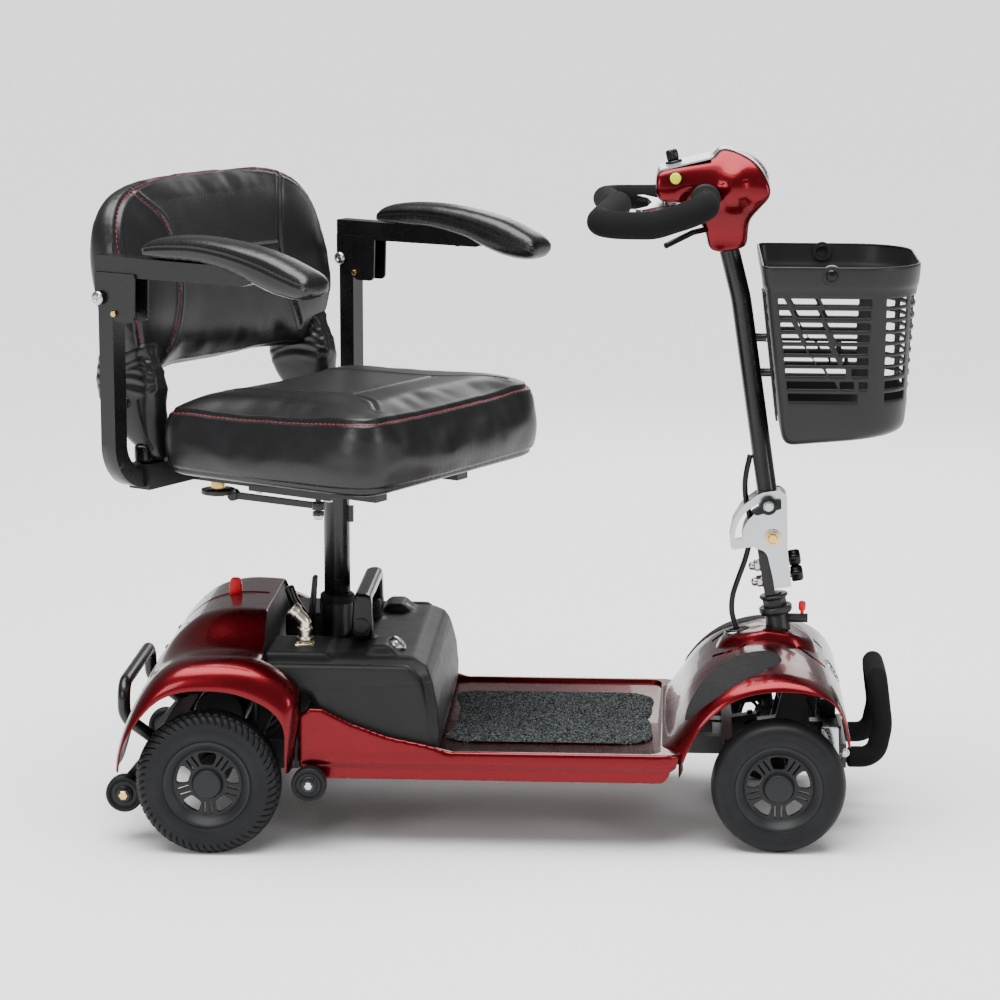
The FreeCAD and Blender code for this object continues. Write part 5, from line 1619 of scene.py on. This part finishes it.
def laid(tree, points, lift):
    """Points moved onto a surface, raised by lift, with the surface's normals."""
    spots, ups = [], []
    for q in points:
        spot, up, *_ = tree.find_nearest(Vector(np.asarray(q) * MM))
        spots.append(np.array(spot + up * lift * MM) * 1000)
        ups.append(np.array(up))
    return np.array(spots), np.array(ups)


STITCH = [(-0.5, 0.25, -0.6), (-0.32, 0.9, 0.1), (0, 1.0, 0.35), (0.32, 0.9, 0.1), (0.5, 0.25, -0.6)]
STITCH_SIDES = 6


def stitch(a, b, up, long, thick):
    """Points of one stitch between two places: a thin arched thread that dips at its ends."""
    along = (b - a) / np.linalg.norm(b - a)
    side = np.cross(along, up)
    side /= max(np.linalg.norm(side), 1e-9)
    up = np.cross(side, along)
    points = []
    for reach, wide, high in STITCH:
        for k in range(STITCH_SIDES):
            t = k * 2 * math.pi / STITCH_SIDES
            points.append((a + b) / 2 + along * reach * long + side * wide * thick * math.cos(t)
                          + up * (wide * thick * math.sin(t) + high * thick))
    return points


def stitches(name, tree, line, body, finish="red_thread", pitch=7.5, long=5.2, thick=0.75, lift=0.4):
    """A run of sewn stitches lying on a cover."""
    count = max(int(length(line) / pitch), 2)
    spots, ups = laid(tree, evenly(line, count * 4 + 1), lift)
    n = STITCH_SIDES
    faces, points = [], []
    for i in range(0, count * 4, 4):
        if np.linalg.norm(spots[i + 3] - spots[i]) < 1e-6:
            continue
        first = len(points)
        points += stitch(spots[i], spots[i + 3], ups[i + 1], long, thick)
        for s in range(first, first + (len(STITCH) - 1) * n, n):
            faces += [(s + k, s + (k + 1) % n, s + n + (k + 1) % n, s + n + k) for k in range(n)]
        faces.append(tuple(first + k for k in range(n))[::-1])
        faces.append(tuple(len(points) - n + k for k in range(n)))
    place(tidy(build(name, points, faces), 1e-7), body, finish)


def plan_outline(x0, x1, half, rear, front, steps=14):
    """Rounded rectangle in the seat's own frame, x forward."""
    corners = [(x0, -half), (x1, -half), (x1, half), (x0, half)]
    return rounded_outline(corners, [rear, front, front, rear], steps)


CUSHION = (-150.0, 222.0, 225.0)
CUSHION_PROFILE = [(30, 501), (20, 502.5), (12, 506), (6, 512), (1, 524), (-2, 546), (-1, 568), (2, 584),
                   (6, 593), (13, 598), (26, 601.5), (50, 604), (90, 605), (140, 605.5), (180, 605.5)]
CUSHION_RISE = 13.0


def cushion_ring(inset, z, rear=34, front=62, count=180, rise=0.0):
    """Outline of the cushion at a height. rise lifts it towards the front."""
    x0, x1, half = CUSHION
    outline = plan_outline(x0 + inset, x1 - inset, half - inset, max(rear - inset, 6), max(front - inset, 10))
    ring = evenly(outline, count, True)
    return np.column_stack([ring, z + rise * np.clip((ring[:, 0] - x0) / (x1 - x0), 0, 1)])


def mark_panels(obj, u, v, mask):
    """Store for the leather where it is perforated: two lengths along the panel and a mask."""
    data = obj.data.attributes.new("panel", "FLOAT_VECTOR", "POINT")
    data.data.foreach_set("vector", np.stack([u, v, mask], 1).astype(np.float32).ravel())


def unseated(p):
    """World metres to the seat's own frame in millimetres."""
    q = p * 1000 - [SEAT_X, 0, 0]
    c, s = math.cos(SEAT_TURN), math.sin(SEAT_TURN)
    return np.stack([q[:, 0] * c + q[:, 1] * s, -q[:, 0] * s + q[:, 1] * c, q[:, 2]], 1)


SEAT_SEAMS = [[(-146, -118), (-90, -112), (-20, -104), (60, -98), (100, -98)],
              [(-146, 118), (-90, 112), (-20, 104), (60, 98), (100, 98)],
              [(100, -98), (100, -40), (100, 40), (100, 98)],
              [(100, -98), (140, -120), (190, -160)],
              [(100, 98), (140, 120), (190, 160)]]


def seat_wall(p):
    """1 on the walls of the cushion, 0 on its underside and top."""
    return np.clip((p[:, 2] - 505) / 20, 0, 1) * np.clip((600 - p[:, 2]) / 25, 0, 1)


def seat_top(p):
    """1 on the top of the cushion."""
    return np.clip((p[:, 2] - 600) / 8, 0, 1)


def seat_panel(q):
    """1 on the perforated middle of the seat."""
    half = np.interp(q[:, 0], [-150, -40, 60, 150], [118, 104, 96, 96]) - 6
    return ((np.abs(q[:, 1]) < half) & (q[:, 2] > 600) & (q[:, 0] < 96) & (q[:, 0] > -138)).astype(float)


def closed_on(tree, ring):
    """A closed ring in the seat's frame, laid onto a cover."""
    return laid(tree, seated(np.vstack([ring, ring[:1]])), 0)[0]


def seat_cushion():
    """The seat: a stuffed cushion with a sewn edge, sewn panels and stitches."""
    rings = []
    for inset, z in CUSHION_PROFILE:
        rise = float(np.interp(z, [540, 598], [0, CUSHION_RISE]))
        rings.append(seated(cushion_ring(inset + 4, z, rise=rise)))
    body = capped("seat_cushion", rings)
    cut(body, [box("relief", (-240, -240, 480), (-147, 240, 524), 0, place=seated)])
    puffed(body, voxel=5.5, reach=8.0, pinned=lambda p: p[:, 2] < 507)
    wrinkle(body, 2.2, 9, seat_wall, (1, 1, 2.2))
    wrinkle(body, 1.0, 7, seat_top)
    tree = surface(body)
    rim_line = closed_on(tree, cushion_ring(6, 602, rise=CUSHION_RISE))
    low_line = closed_on(tree, cushion_ring(8, 512))
    panel_lines = [laid(tree, seated(curve([(x, y, 640) for x, y in points], 80)),
                        0)[0] for points in SEAT_SEAMS]
    crease(body, [rim_line], 2.2, 2.6, 0.7)
    crease(body, [low_line], 2.4, 2.6, 0.7)
    crease(body, panel_lines, 2.0, 2.4, 0.8)
    q = unseated(co(body))
    mark_panels(body, q[:, 1] * MM, q[:, 0] * MM, seat_panel(q))
    place(body, "seat", "leather_panel", "leather", ["seat_cushion"])
    tree = surface(body)
    around = laid(tree, offset_line(rim_line, -5.5), 0)[0]
    stitches("seat_stitches", tree, around, "seat")
    for i, line in enumerate(panel_lines):
        thread = "red_thread" if i == 2 else "black_thread"
        stitches("seat_panel_stitches_%d" % i, tree, line, "seat", thread, 6.5, 4.6, 0.6, 0.2)


def offset_line(line, rise):
    """A line moved straight up or down by rise."""
    return np.asarray(line) + [0, 0, rise]


BACK_RIGHT = [(120, 630), (190, 632), (228, 670), (246, 740), (249, 800), (239, 850), (207, 883), (150, 901),
              (70, 907)]
BACK_LEFT = [(-y, z) for y, z in BACK_RIGHT[::-1]]
BACK_OUTLINE = BACK_LEFT[-2:] + [(0, 629)] + BACK_RIGHT + [(0, 908)] + BACK_LEFT[:-2]
BACK_MIDDLE = np.array([0.0, 785.0])
BACK_STEPS = [(0.02, 0), (0.3, 0), (0.6, 0), (0.8, 0), (0.9, 0.02), (0.96, 0.08), (0.99, 0.2), (1.0, 0.4),
              (1.0, 0.62), (0.99, 0.8), (0.96, 0.92), (0.9, 0.98), (0.8, 1), (0.6, 1), (0.3, 1), (0.02, 1)]
BACK_TUCK = 790.0
BACK_SEAMS = [[(-152, 668), (-136, 700), (-122, 742), (-118, 790), (-132, 845), (-166, 886)],
              [(152, 668), (136, 700), (122, 742), (118, 790), (132, 845), (166, 886)],
              [(-118, BACK_TUCK), (-60, BACK_TUCK + 1), (60, BACK_TUCK + 1), (118, BACK_TUCK)]]


def back_front(y, z):
    """Local x of the front face of the back cushion."""
    across = np.abs(y) / 240.0
    lean = np.interp(z, [640, 700, 780, 850, 912], [-186, -182, -190, -202, -226])
    return lean + (10 + 20 * np.clip((850 - z) / 130, 0, 1)) * across ** 2.4


def back_rear(y, z):
    """Local x of the rear face of the back cushion."""
    across = np.abs(y) / 240.0
    return np.interp(z, [640, 700, 800, 912], [-244, -258, -268, -264]) + 10 * across ** 2


def back_panel(q):
    """1 on the two perforated fields of the backrest."""
    half = np.interp(q[:, 2], [668, 742, 790, 845, 880], [146, 120, 116, 130, 150]) - 6
    tall = (q[:, 2] > 672) & (q[:, 2] < 872) & (np.abs(q[:, 2] - BACK_TUCK) > 5)
    return (tall & (np.abs(q[:, 1]) < half) & (q[:, 0] > -222)).astype(float)


def on_back(tree, points, count=120):
    """A line given as (y, z), thrown onto the front face of the back cushion."""
    y, z = curve(points, count).T
    ahead = Vector(seated([(1, 0, 0)])[0] - seated([(0, 0, 0)])[0])
    out = []
    for point in seated(np.stack([back_front(y, z) + 30, y, z], 1)):
        hit = tree.ray_cast(Vector(point * MM), -ahead)
        if hit[0]:
            out.append(np.array(hit[0]) * 1000)
    return np.array(out)


def back_cushion():
    """The backrest: a stuffed curved cushion with a sewn edge, sewn panels and stitches."""
    outline = evenly(through(BACK_OUTLINE, 12, True), 200, True)
    rings = []
    for scale, t in BACK_STEPS:
        ring = BACK_MIDDLE + (outline - BACK_MIDDLE) * (1 - (1 - scale) * np.array([1.0, 0.9]))
        y, z = ring[:, 0] * 0.975, ring[:, 1]
        front, rear = back_front(y, z) - 4, back_rear(y, z) + 5
        rings.append(seated(np.stack([front + (rear - front) * t, y, z], 1)))
    body = capped("back_cushion", rings)
    puffed(body, voxel=5.5, reach=8.0)
    rim_line = evenly(through(BACK_OUTLINE, 12, True), 240, True)
    rim_line = BACK_MIDDLE + (rim_line - BACK_MIDDLE) * 0.93
    tree = surface(body)
    edge = on_back(tree, np.vstack([rim_line, rim_line[:1]]), 400)
    lines = [on_back(tree, points) for points in BACK_SEAMS]
    crease(body, [edge], 2.2, 2.8, 0.8)
    crease(body, lines, 2.2, 2.6, 1.0)
    wrinkle(body, 1.6, 8)
    wrinkle(body, 2.0, 16, lambda p: pulse(p[:, 2], 655, 12, 30))
    q = unseated(co(body))
    mark_panels(body, q[:, 1] * MM, q[:, 2] * MM, back_panel(q))
    place(body, "backrest", "leather_panel", "leather", ["back_cushion"])
    tree = surface(body)
    stitches("back_edge_stitches", tree, edge[115:-8], "backrest", "red_thread", 7.5, 5.0, 0.7, 0.3)
    for i, line in enumerate(lines):
        thread = "red_thread" if i == 0 else "black_thread"
        stitches("back_panel_stitches_%d" % i, tree, line, "backrest", thread, 6.5, 4.6, 0.6, 0.2)


ARM_Y = 277.5
PAD_Y = 271.0
PAD_TOP = [(-107, 816), (-104, 830), (-92, 838), (-60, 843.5), (-10, 845.5), (45, 841.5), (90, 834),
           (120, 826), (148, 815), (164, 808), (172, 800), (174, 791)]
PAD_BELOW = [(-107, 813), (-104, 812.4), (-92, 812.3), (-60, 812.2), (-10, 812.2), (45, 802), (78, 789),
             (112, 778), (144, 773), (162, 774), (171, 779), (174, 787)]


def pad_width(t):
    """Half width of an arm pad along its length, t from 0 to 1, with a rounded tip."""
    heel = min(1.0, (1 - (1 - min(t * 9, 1)) ** 2) * 0.12 + 0.88)
    tip = math.sqrt(max(1 - max((t - 0.84) / 0.175, 0) ** 3.2, 0.12))
    return 28.5 * heel * tip


def arm_pads():
    """Two padded arm rests that dip towards their tips, with a groove along each side."""
    top, below = through(PAD_TOP, 4), through(PAD_BELOW, 4)
    pairs = list(zip(top, below))
    turn = full_turn(72)
    c, sn = np.cos(turn), np.sin(turn)
    up = np.sign(sn) * np.abs(sn) ** 0.62
    for name, s in SIDES:
        rings = []
        for k, ((x, z1), (xb, z0)) in enumerate(pairs):
            y = pad_width(k / (len(top) - 1)) * np.sign(c) * np.abs(c) ** 0.5
            z = (z0 + z1) / 2 + (z1 - z0) / 2 * up
            xx = x + (xb - x) * (0.5 - 0.5 * up)
            rings.append(seated(np.stack([xx, s * (PAD_Y + y), z], 1)))
        body = capped("arm_pad_" + name, rings)
        puffed(body, voxel=4.0, reach=5.0, pressure=3.0)
        wrinkle(body, 0.7, 14)
        tree = surface(body)
        lines = []
        for out in (1, -1):
            line = [(x, s * (PAD_Y + out * 30), z0 + (z1 - z0) * 0.60) for (x, z1), (_, z0) in pairs[3:-3]]
            lines.append(laid(tree, seated(line), 0)[0])
        crease(body, lines, 0.9, 1.6, 0.5)
        place(body, "arm_" + name, "pad_skin", "pad_skin", ["arm_pad_" + name])


COVER = [(-250, 668), (-259, 640), (-258, 612), (-245, 584), (-217, 556), (-190, 536), (-164, 524),
         (-148, 522), (-150, 560), (-152, 596), (-150, 616), (-154, 640), (-166, 664), (-176, 690),
         (-226, 692)]
COVER_IN, COVER_OUT = 176.0, 221.0
COVER_MIDDLE = np.array([-200.0, 608.0])
COVER_STEPS = [(0, 0.02), (0, 0.5), (0.02, 0.8), (0.12, 0.93), (0.3, 1), (0.7, 1), (0.88, 0.93), (0.98, 0.8),
               (1, 0.5), (1, 0.02)]
COVER_FOLDS = (622, 634, 645, 657)
PIPING = [(-176, 224, 606), (-172, 225, 584), (-163, 225, 558), (-150, 224, 536)]


def fold_line(s, z, side):
    """A fold across one face of a hinge cover."""
    return [(x, s * side, z + 5 * math.sin(x / 19 + z) + (x + 205) * 0.16) for x in range(-262, -140, 4)]


def hinge_cover(name, s):
    """Leather cover of a back hinge, from the back cushion down to the seat, folded where it bends."""
    outline = curve(COVER, 90, True)
    rings = []
    for share, size in COVER_STEPS:
        ring = COVER_MIDDLE + (outline - COVER_MIDDLE) * size
        y = COVER_IN + (COVER_OUT - COVER_IN) * share
        rings.append(seated(np.stack([ring[:, 0], np.full(len(ring), s * y), ring[:, 1]], 1)))
    obj = capped("hinge_cover_" + name, rings)
    puffed(obj, voxel=4.0, reach=4.0, pressure=3.0, calm=8)
    tree = surface(obj)
    folds = [fold_line(s, z, side) for z in COVER_FOLDS for side in (170, 228)]
    crease(obj, [laid(tree, seated(fold), 0)[0] for fold in folds], 1.8, 3.8, 0.8)
    wrinkle(obj, 1.2, 22, lambda p: np.clip((p[:, 2] - 600) / 20, 0.15, 1), (1, 1, 3))
    return obj


def hinge_covers():
    """Covers over the two back hinges."""
    for name, s in SIDES:
        obj = hinge_cover(name, s)
        tree = surface(obj)
        paint(obj, "leather")
        low, high = seated([(-190, s * 198, 604), (-190, s * 198, 662)]) * MM
        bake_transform(obj)
        line = seated(curve([(x, s * y, z) for x, y, z in PIPING], 40))
        piping = bar("hinge_piping_" + name, laid(tree, line, 0.8)[0], 1.8, 1.0, 12)
        place(piping, "seat", "black_plastic")
        spot, up = laid(tree, seated([(-197, s * 228, 600)]), 0)
        dome_bolt("hinge_bolt_" + name, spot[0] - up[0], up[0], 8.5, 5, "seat", "gloss_black")


# ---- deck ---------------------------------------------------------------------
TRAY = [(-268, 118), (-268, 190), (-252, 200), (-236, 200), (-196, 180), (-144, 161.5), (-92, 151),
        (-62, 142), (-50, 118)]


TUCK_Z = [93, 100, 118, 122, 126, 141]
TUCK_IN = [10, 6.5, 4.5, 0.8, 0, 1]


def as_is(p):
    """Outline in (x, y), thickness along z."""
    return p


def deck_pan():
    """The low platform: a shallow tray with raised sides towards the battery and tucked-in flanks."""
    plan = rounded_outline([(-270, -215.5), (258, -215.5), (258, 215.5), (-270, 215.5)], [12, 30, 30, 12], 10)
    body = [prism("pan", plan, 93, 141.5, as_is, 0)]
    for _, s in SIDES:
        body.append(prism("wall", TRAY, *sorted((s * 205.4, s * 215.4)), from_side, 0))
    body = remeshed(joined("deck_pan", body), voxel=3.2, rounds=5)
    p = co(body)
    tuck = np.interp(p[:, 2] * 1000, TUCK_Z, TUCK_IN) / 215
    p[:, 1] *= 1 - np.where(np.abs(p[:, 1]) > 0.19, tuck, 0)
    set_co(body, p)
    low = rounded_outline([(-290, -206), (227, -206), (227, 206), (-290, 206)], [2, 20, 20, 2])
    nose = [(264, 60), (264, 120), (240, 91), (200, 91), (200, 60)]
    tools = [prism("floor", low, 135.2, 160, as_is, 0), box("under", (-280, -209, 80), (252, 209, 129), 3),
             box("bay", (-290, -66, 70), (-202, 66, 220), 2),
             box("between", (-290, -205.4, 129), (-222, 205.4, 220), 0),
             prism("nose", nose, -230, 230, from_side, 0)]
    for tool in tools:
        cut(body, [tool])
    modifier(body, "BEVEL", width=1.2 * MM, segments=2, limit_method="ANGLE", angle_limit=math.radians(50))
    apply_all(body)
    smoothed_normals(body, 45)
    place(body, "chassis", "candy_red", "candy_red", ["deck_pan"])


# ---- bolts, knobs and other small parts -----------------------------------------
KNOB_STEPS = [(0, .86), (.08, .96), (.2, 1), (.7, 1), (.86, .95), (.96, .8), (1, .55), (1.01, .2)]


def lobed_knob(name, centre, axis, radius, height, lobes=6, body="steer", finish="gloss_black"):
    """A knob with a wavy edge and a domed top."""
    axis, side, up = frame_about(axis)
    turn = full_turn(96)
    wave = 1 - 0.09 * (0.5 - 0.5 * np.cos(lobes * turn))
    rings = []
    for share, size in KNOB_STEPS:
        r = radius * size * (1 + (wave - 1) * min(1, size * 1.2))
        around = np.outer(np.cos(turn), side) + np.outer(np.sin(turn), up)
        rings.append(np.array(centre) + np.array(axis) * height * share + r[:, None] * around)
    return place(capped(name, rings), body, finish)


FOLD_PIVOT, FOLD_LOCK = (380, 27, 406), (373, -34, 453)


def column_rings():
    """Bearing rings at the foot of the steering column."""
    low = raked([(0, 0, 16)])[0]
    fitted("race_cup", "chassis", "satin_black",
           [(-12, 17.2), (-12, 21), (-8, 23.4), (-2, 23.4), (-1, 21.4), (-1, 17.2)], low, STEERING_UP, 0.8,
           64)
    fitted("race_lock", "steer", "satin_black", [(1, 12), (1, 19.5), (4, 20.4), (6, 19), (6, 12)],
           low + np.array(STEERING_UP) * 10, STEERING_UP, 0.8, 64)


def cable_wrap():
    """Plastic spiral round the cable below the hinge."""
    coil = []
    for t in np.linspace(0, 1, 120):
        a = t * 2 * math.pi * 7
        coil.append((349 + 5.4 * math.cos(a) - 1.5 * t, 5.4 * math.sin(a), 392 + 26 * t))
    place(sweep("cable_wrap", coil, 1.1, 8), "steer", "gloss_black")


def hinge_details():
    """Knobs, nuts and bolts of the tiller's folding hinge."""
    forward = np.array([math.cos(RAKE), 0, math.sin(RAKE)])
    for i, z in enumerate((56, 79)):
        lobed_knob("hinge_knob_%d" % i, raked([(29, 0, z)])[0], forward, 12.2, 17)
        nut = raked([(-13, 0, z - 3)])[0]
        hex_bolt("hinge_nut_%d" % i, nut, -forward, 15, 7, "steer", "zinc", 9)
        fitted("hinge_acorn_%d" % i, "steer", "zinc", [(0, 6.2), (4, 6.0), (7.5, 4.2), (8.6, 0.01)],
               nut - forward * 7, -forward, 1.2, 40)
    x, y, z = FOLD_PIVOT
    for name, s in SIDES:
        spot, out = (x, s * y, z), (0, s, 0)
        hex_bolt("fold_pivot_bolt_" + name, spot, out, 13, 5, "steer", "brass", 10)
        fitted("fold_washer_" + name, "steer", "zinc", [(-5, 5), (-5, 12.5), (-2.6, 12.5), (-2.6, 5)], spot,
               out, 0.5)
    hex_bolt("fold_lock_bolt", FOLD_LOCK, (0, -1, 0), 12, 5, "fold_lock", "zinc", 7.6)
    fitted("fold_lock_ring", "fold_lock", "gloss_black", [(-2, 8), (-2, 12), (1.6, 12), (2.2, 10.6),
                                                          (2.2, 8)],
           FOLD_LOCK, (0, -1, 0), 0.6)
    column_rings()
    cable_wrap()


def arm_details():
    """Pivot bolts, stops, pad screws and clamp knobs of the two arm rests."""
    for name, s in SIDES:
        out = seated([(0, s, 0)])[0] - seated([(0, 0, 0)])[0]
        y = s * ARM_Y
        for tag, sign in (("out", 1), ("in", -1)):
            at = seated([(-178, y + s * sign * 21.5, 755)])[0]
            dome_bolt("arm_pivot_%s_%s" % (tag, name), at, out * sign, 9.6, 4.2, "arm_slide_" + name, "zinc")
        for tag, sign in (("", 1), ("in_", -1)):
            stop = seated([(-153, y + s * sign * 16.4, 735)])[0]
            hex_bolt("arm_stop_" + tag + name, stop, out * sign, 8, 4, "arm_" + name, "brass")
        for k, x in enumerate((-60, 20)):
            at = seated([(x, y, 785.2)])[0]
            dome_bolt("pad_screw_%d_%s" % (k, name), at, (0, 0, -1), 4.2, 2.2, "arm_" + name, "gloss_black")
        top = seated([(-172, s * 214, 519)])[0]
        lobed_knob("clamp_cover_" + name, top + [0, 0, 0.4], (0, 0, 1), 14.6, 24, 6, "arm_clamp_" + name)


DIAL = np.array([236, 0, 924.7])
DIAL_TILT = math.radians(13)


def seat_details():
    """Adjuster knob, bolts and rings under the seat and on its post."""
    up = (0, 0, 1)
    knob = seated([(-134, -99, 459)])[0]
    fitted("seat_knob_neck", "seat", "brass", [(3, 10.4), (19, 10.4), (19, 0.01), (3, 0.01)], knob, up)
    lobed_knob("seat_knob", knob + [0, 0, 8.4], (0, 0, -1), 22.5, 9.6, 10, "seat")
    pin = seated([(12, -60, 437)])[0]
    hex_bolt("lever_pivot_bolt", pin, (0, 0, -1), 12, 5, "seat", "zinc", 8.4)
    fitted("post_collar", "chassis", "soft_black", [(0, 18.8), (0, 24.6), (10, 24.6), (13, 21.5), (13, 18.8)],
           (SEAT_X, 0, 302), up, 1.2, 72)
    fitted("post_bearing", "post", "gloss_black", [(-8, 19), (-8, 30), (0, 34.6), (4.6, 34.6), (4.6, 19)],
           (SEAT_X, 0, 466), up, 1.4, 72)
    for i, (x, y) in enumerate(((-60, 100), (60, 100), (-60, -100), (60, -100))):
        spot = seated([(x, y, 472.6)])[0]
        hex_bolt("plate_bolt_%d" % i, spot, (0, 0, -1), 10, 4.5, "seat", "zinc", 7.5)


def panel_details():
    """The speed dial's skirt and cap, and the horn button with its bezel."""
    aim = np.array([-math.sin(DIAL_TILT), 0, math.cos(DIAL_TILT)])
    fitted("dial_skirt", "dial", "gloss_black", [(3.2, 3.2), (3.2, 12), (4.6, 12.2), (6.4, 11), (6.8, 6.2)],
           DIAL, aim, 0.6, 64)
    lobed_knob("dial_cap", DIAL + aim * 6.4, aim, 8.6, 15.4, 9, "dial")
    fitted("horn_bezel", "tiller", "gloss_black", [(-4, 6.6), (-4, 9.6), (3.4, 9.4), (4.6, 8.2), (4.6, 6.6)],
           HORN, (0, -1, 0))
    cap = turned("horn_cap", [(3.2, 0.01), (3.2, 7.8), (8.6, 7.4), (9.6, 6), (10, 0.01)], HORN, (0, -1, 0),
                 0.9, 48)
    place(cap, "horn", "yellow", "yellow")


def frame_details():
    """Bolts and plates of the bumper and basket, the lamp's bezel and two red grips."""
    bracket = rounded_outline([(450, 152), (474, 152), (476, 108), (452, 108)], [4, 4, 3, 3], 4)
    for name, s in SIDES:
        for i, (x, z) in enumerate(((484, 114), (456, 126))):
            hex_bolt("bumper_bolt_%d_%s" % (i, name), (x, s * 84, z), (0, s, 0), 9, 4, "chassis", "zinc", 6.5)
        plate = prism("bracket_plate_" + name, bracket, *sorted((s * 84.2, s * 87)), from_side, 0.6)
        place(plate, "chassis", "zinc")
    for i, (x, z) in enumerate(((368, 686), (376, 637))):
        hex_bolt("basket_bolt_%d" % i, (x, 0, z), (1, 0, -0.12), 9, 4, "tiller", "zinc", 7)
    bezel = [(-8, 17.6), (-8, 20), (3.4, 19.4), (4.4, 18), (3, 16.4), (-2, 16.2)]
    fitted("lamp_bezel", "chassis", "zinc", bezel, LAMP, LAMP_AXIS, 0.6, 64)
    tip = turned("lock_grip", [(0, 2), (0, 4.8), (9, 5.4), (13, 4.2), (14, 0.01)], (424, 0, 298), (0, 0, 1),
                 1.0, 40)
    place(tip, "steer_lock", "red_plastic", "red_plastic")
    outline = rounded_outline([(-390.5, 296), (-371, 296), (-372, 334), (-388, 334)], [3, 3, 6, 6], 6)
    grip = prism("lever_grip", outline, -5.2, 5.2, from_side, 2.4)
    place(grip, "freewheel", "red_plastic", "red_plastic")


# ---- CAD nodes that stay ------------------------------------------------------
STAYING = {
    "rear_frame": "satin_black", "transaxle": "cast_alloy", "freewheel_lever": "red_plastic",
    "rear_bumper": "black_steel", "seat_post_socket": "satin_black", "front_frame": "satin_black",
    "front_bumper": "black_steel", "steer_lock_pin": "red_plastic", "tie_rod": "satin_black",
    "steering_stem": "satin_black", "hinge_plates": "zinc", "tiller_tube": "black_steel",
    "fold_lock_knob": "gloss_black", "control_panel": "panel", "speed_dial": "gloss_black",
    "horn_button": "yellow", "throttle_lever": "zinc", "brake_lever": "gloss_black",
    "handlebar_tube": "black_steel", "seat_post": "black_steel", "seat_frame": "satin_black",
    "swivel_lever": "satin_black", "arm_knob_left": "gloss_black", "arm_knob_right": "gloss_black",
    "back_frame": "satin_black", "arm_post_left": "black_steel", "arm_post_right": "black_steel",
    "arm_bar_left": "black_steel", "arm_bar_right": "black_steel", "knuckle_left": "satin_black",
    "knuckle_right": "satin_black", "headlight": "lens"}
EDGE = {"control_panel": 0.25, "horn_button": 0.3, "speed_dial": 0.4, "swivel_lever": 0.5,
        "throttle_lever": 0.8, "arm_post_left": 1.6, "arm_post_right": 1.6, "arm_bar_left": 1.4,
        "arm_bar_right": 1.4, "hinge_plates": 0.9, "transaxle": 1.5}


def staying_nodes():
    """The CAD pieces that are kept as they are."""
    for node, finish in STAYING.items():
        carried_over(node, finish, EDGE.get(node, 0.7))


# ---- cable --------------------------------------------------------------------
CABLE = [(347, 0, 520), (341, 0, 486), (342, 0, 458), (348, 0, 430), (349, 0, 402), (343, 0, 372),
         (333, 0, 342), (326, 0, 318), (325, 0, 296), (330, 0, 276), (336, 0, 262)]


CABLE_SPLIT, CABLE_OVERLAP = 61, 4


def tiller_cable():
    """The control cable, split at the folding hinge, where its two lengths slide into each other."""
    line = curve(CABLE, 140)
    upper = sweep("tiller_cable_upper", line[:CABLE_SPLIT + 1], 3.9, 24)
    place(upper, "tiller", "gloss_black", "black_plastic", ["tiller_cable"])
    run = line[CABLE_SPLIT - CABLE_OVERLAP:]
    lower = sweep("tiller_cable_lower", run, 3.9, 24)
    paint(lower, "gloss_black")
    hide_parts("tiller_cable")
    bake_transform(lower)


def build_all():
    """Everything, in the order in which it is made."""
    studio()
    camera()
    wheels()
    rear_shroud()
    front_shroud()
    battery_box()
    battery_handle()
    battery_details()
    deck_pan()
    deck_mat()
    grip_pads()
    bumper_foam()
    tiller_head()
    handlebar_foam()
    basket()
    seat_cushion()
    back_cushion()
    arm_pads()
    hinge_covers()
    tiller_cable()
    staying_nodes()
    hinge_details()
    arm_details()
    seat_details()
    panel_details()
    frame_details()


build_all()
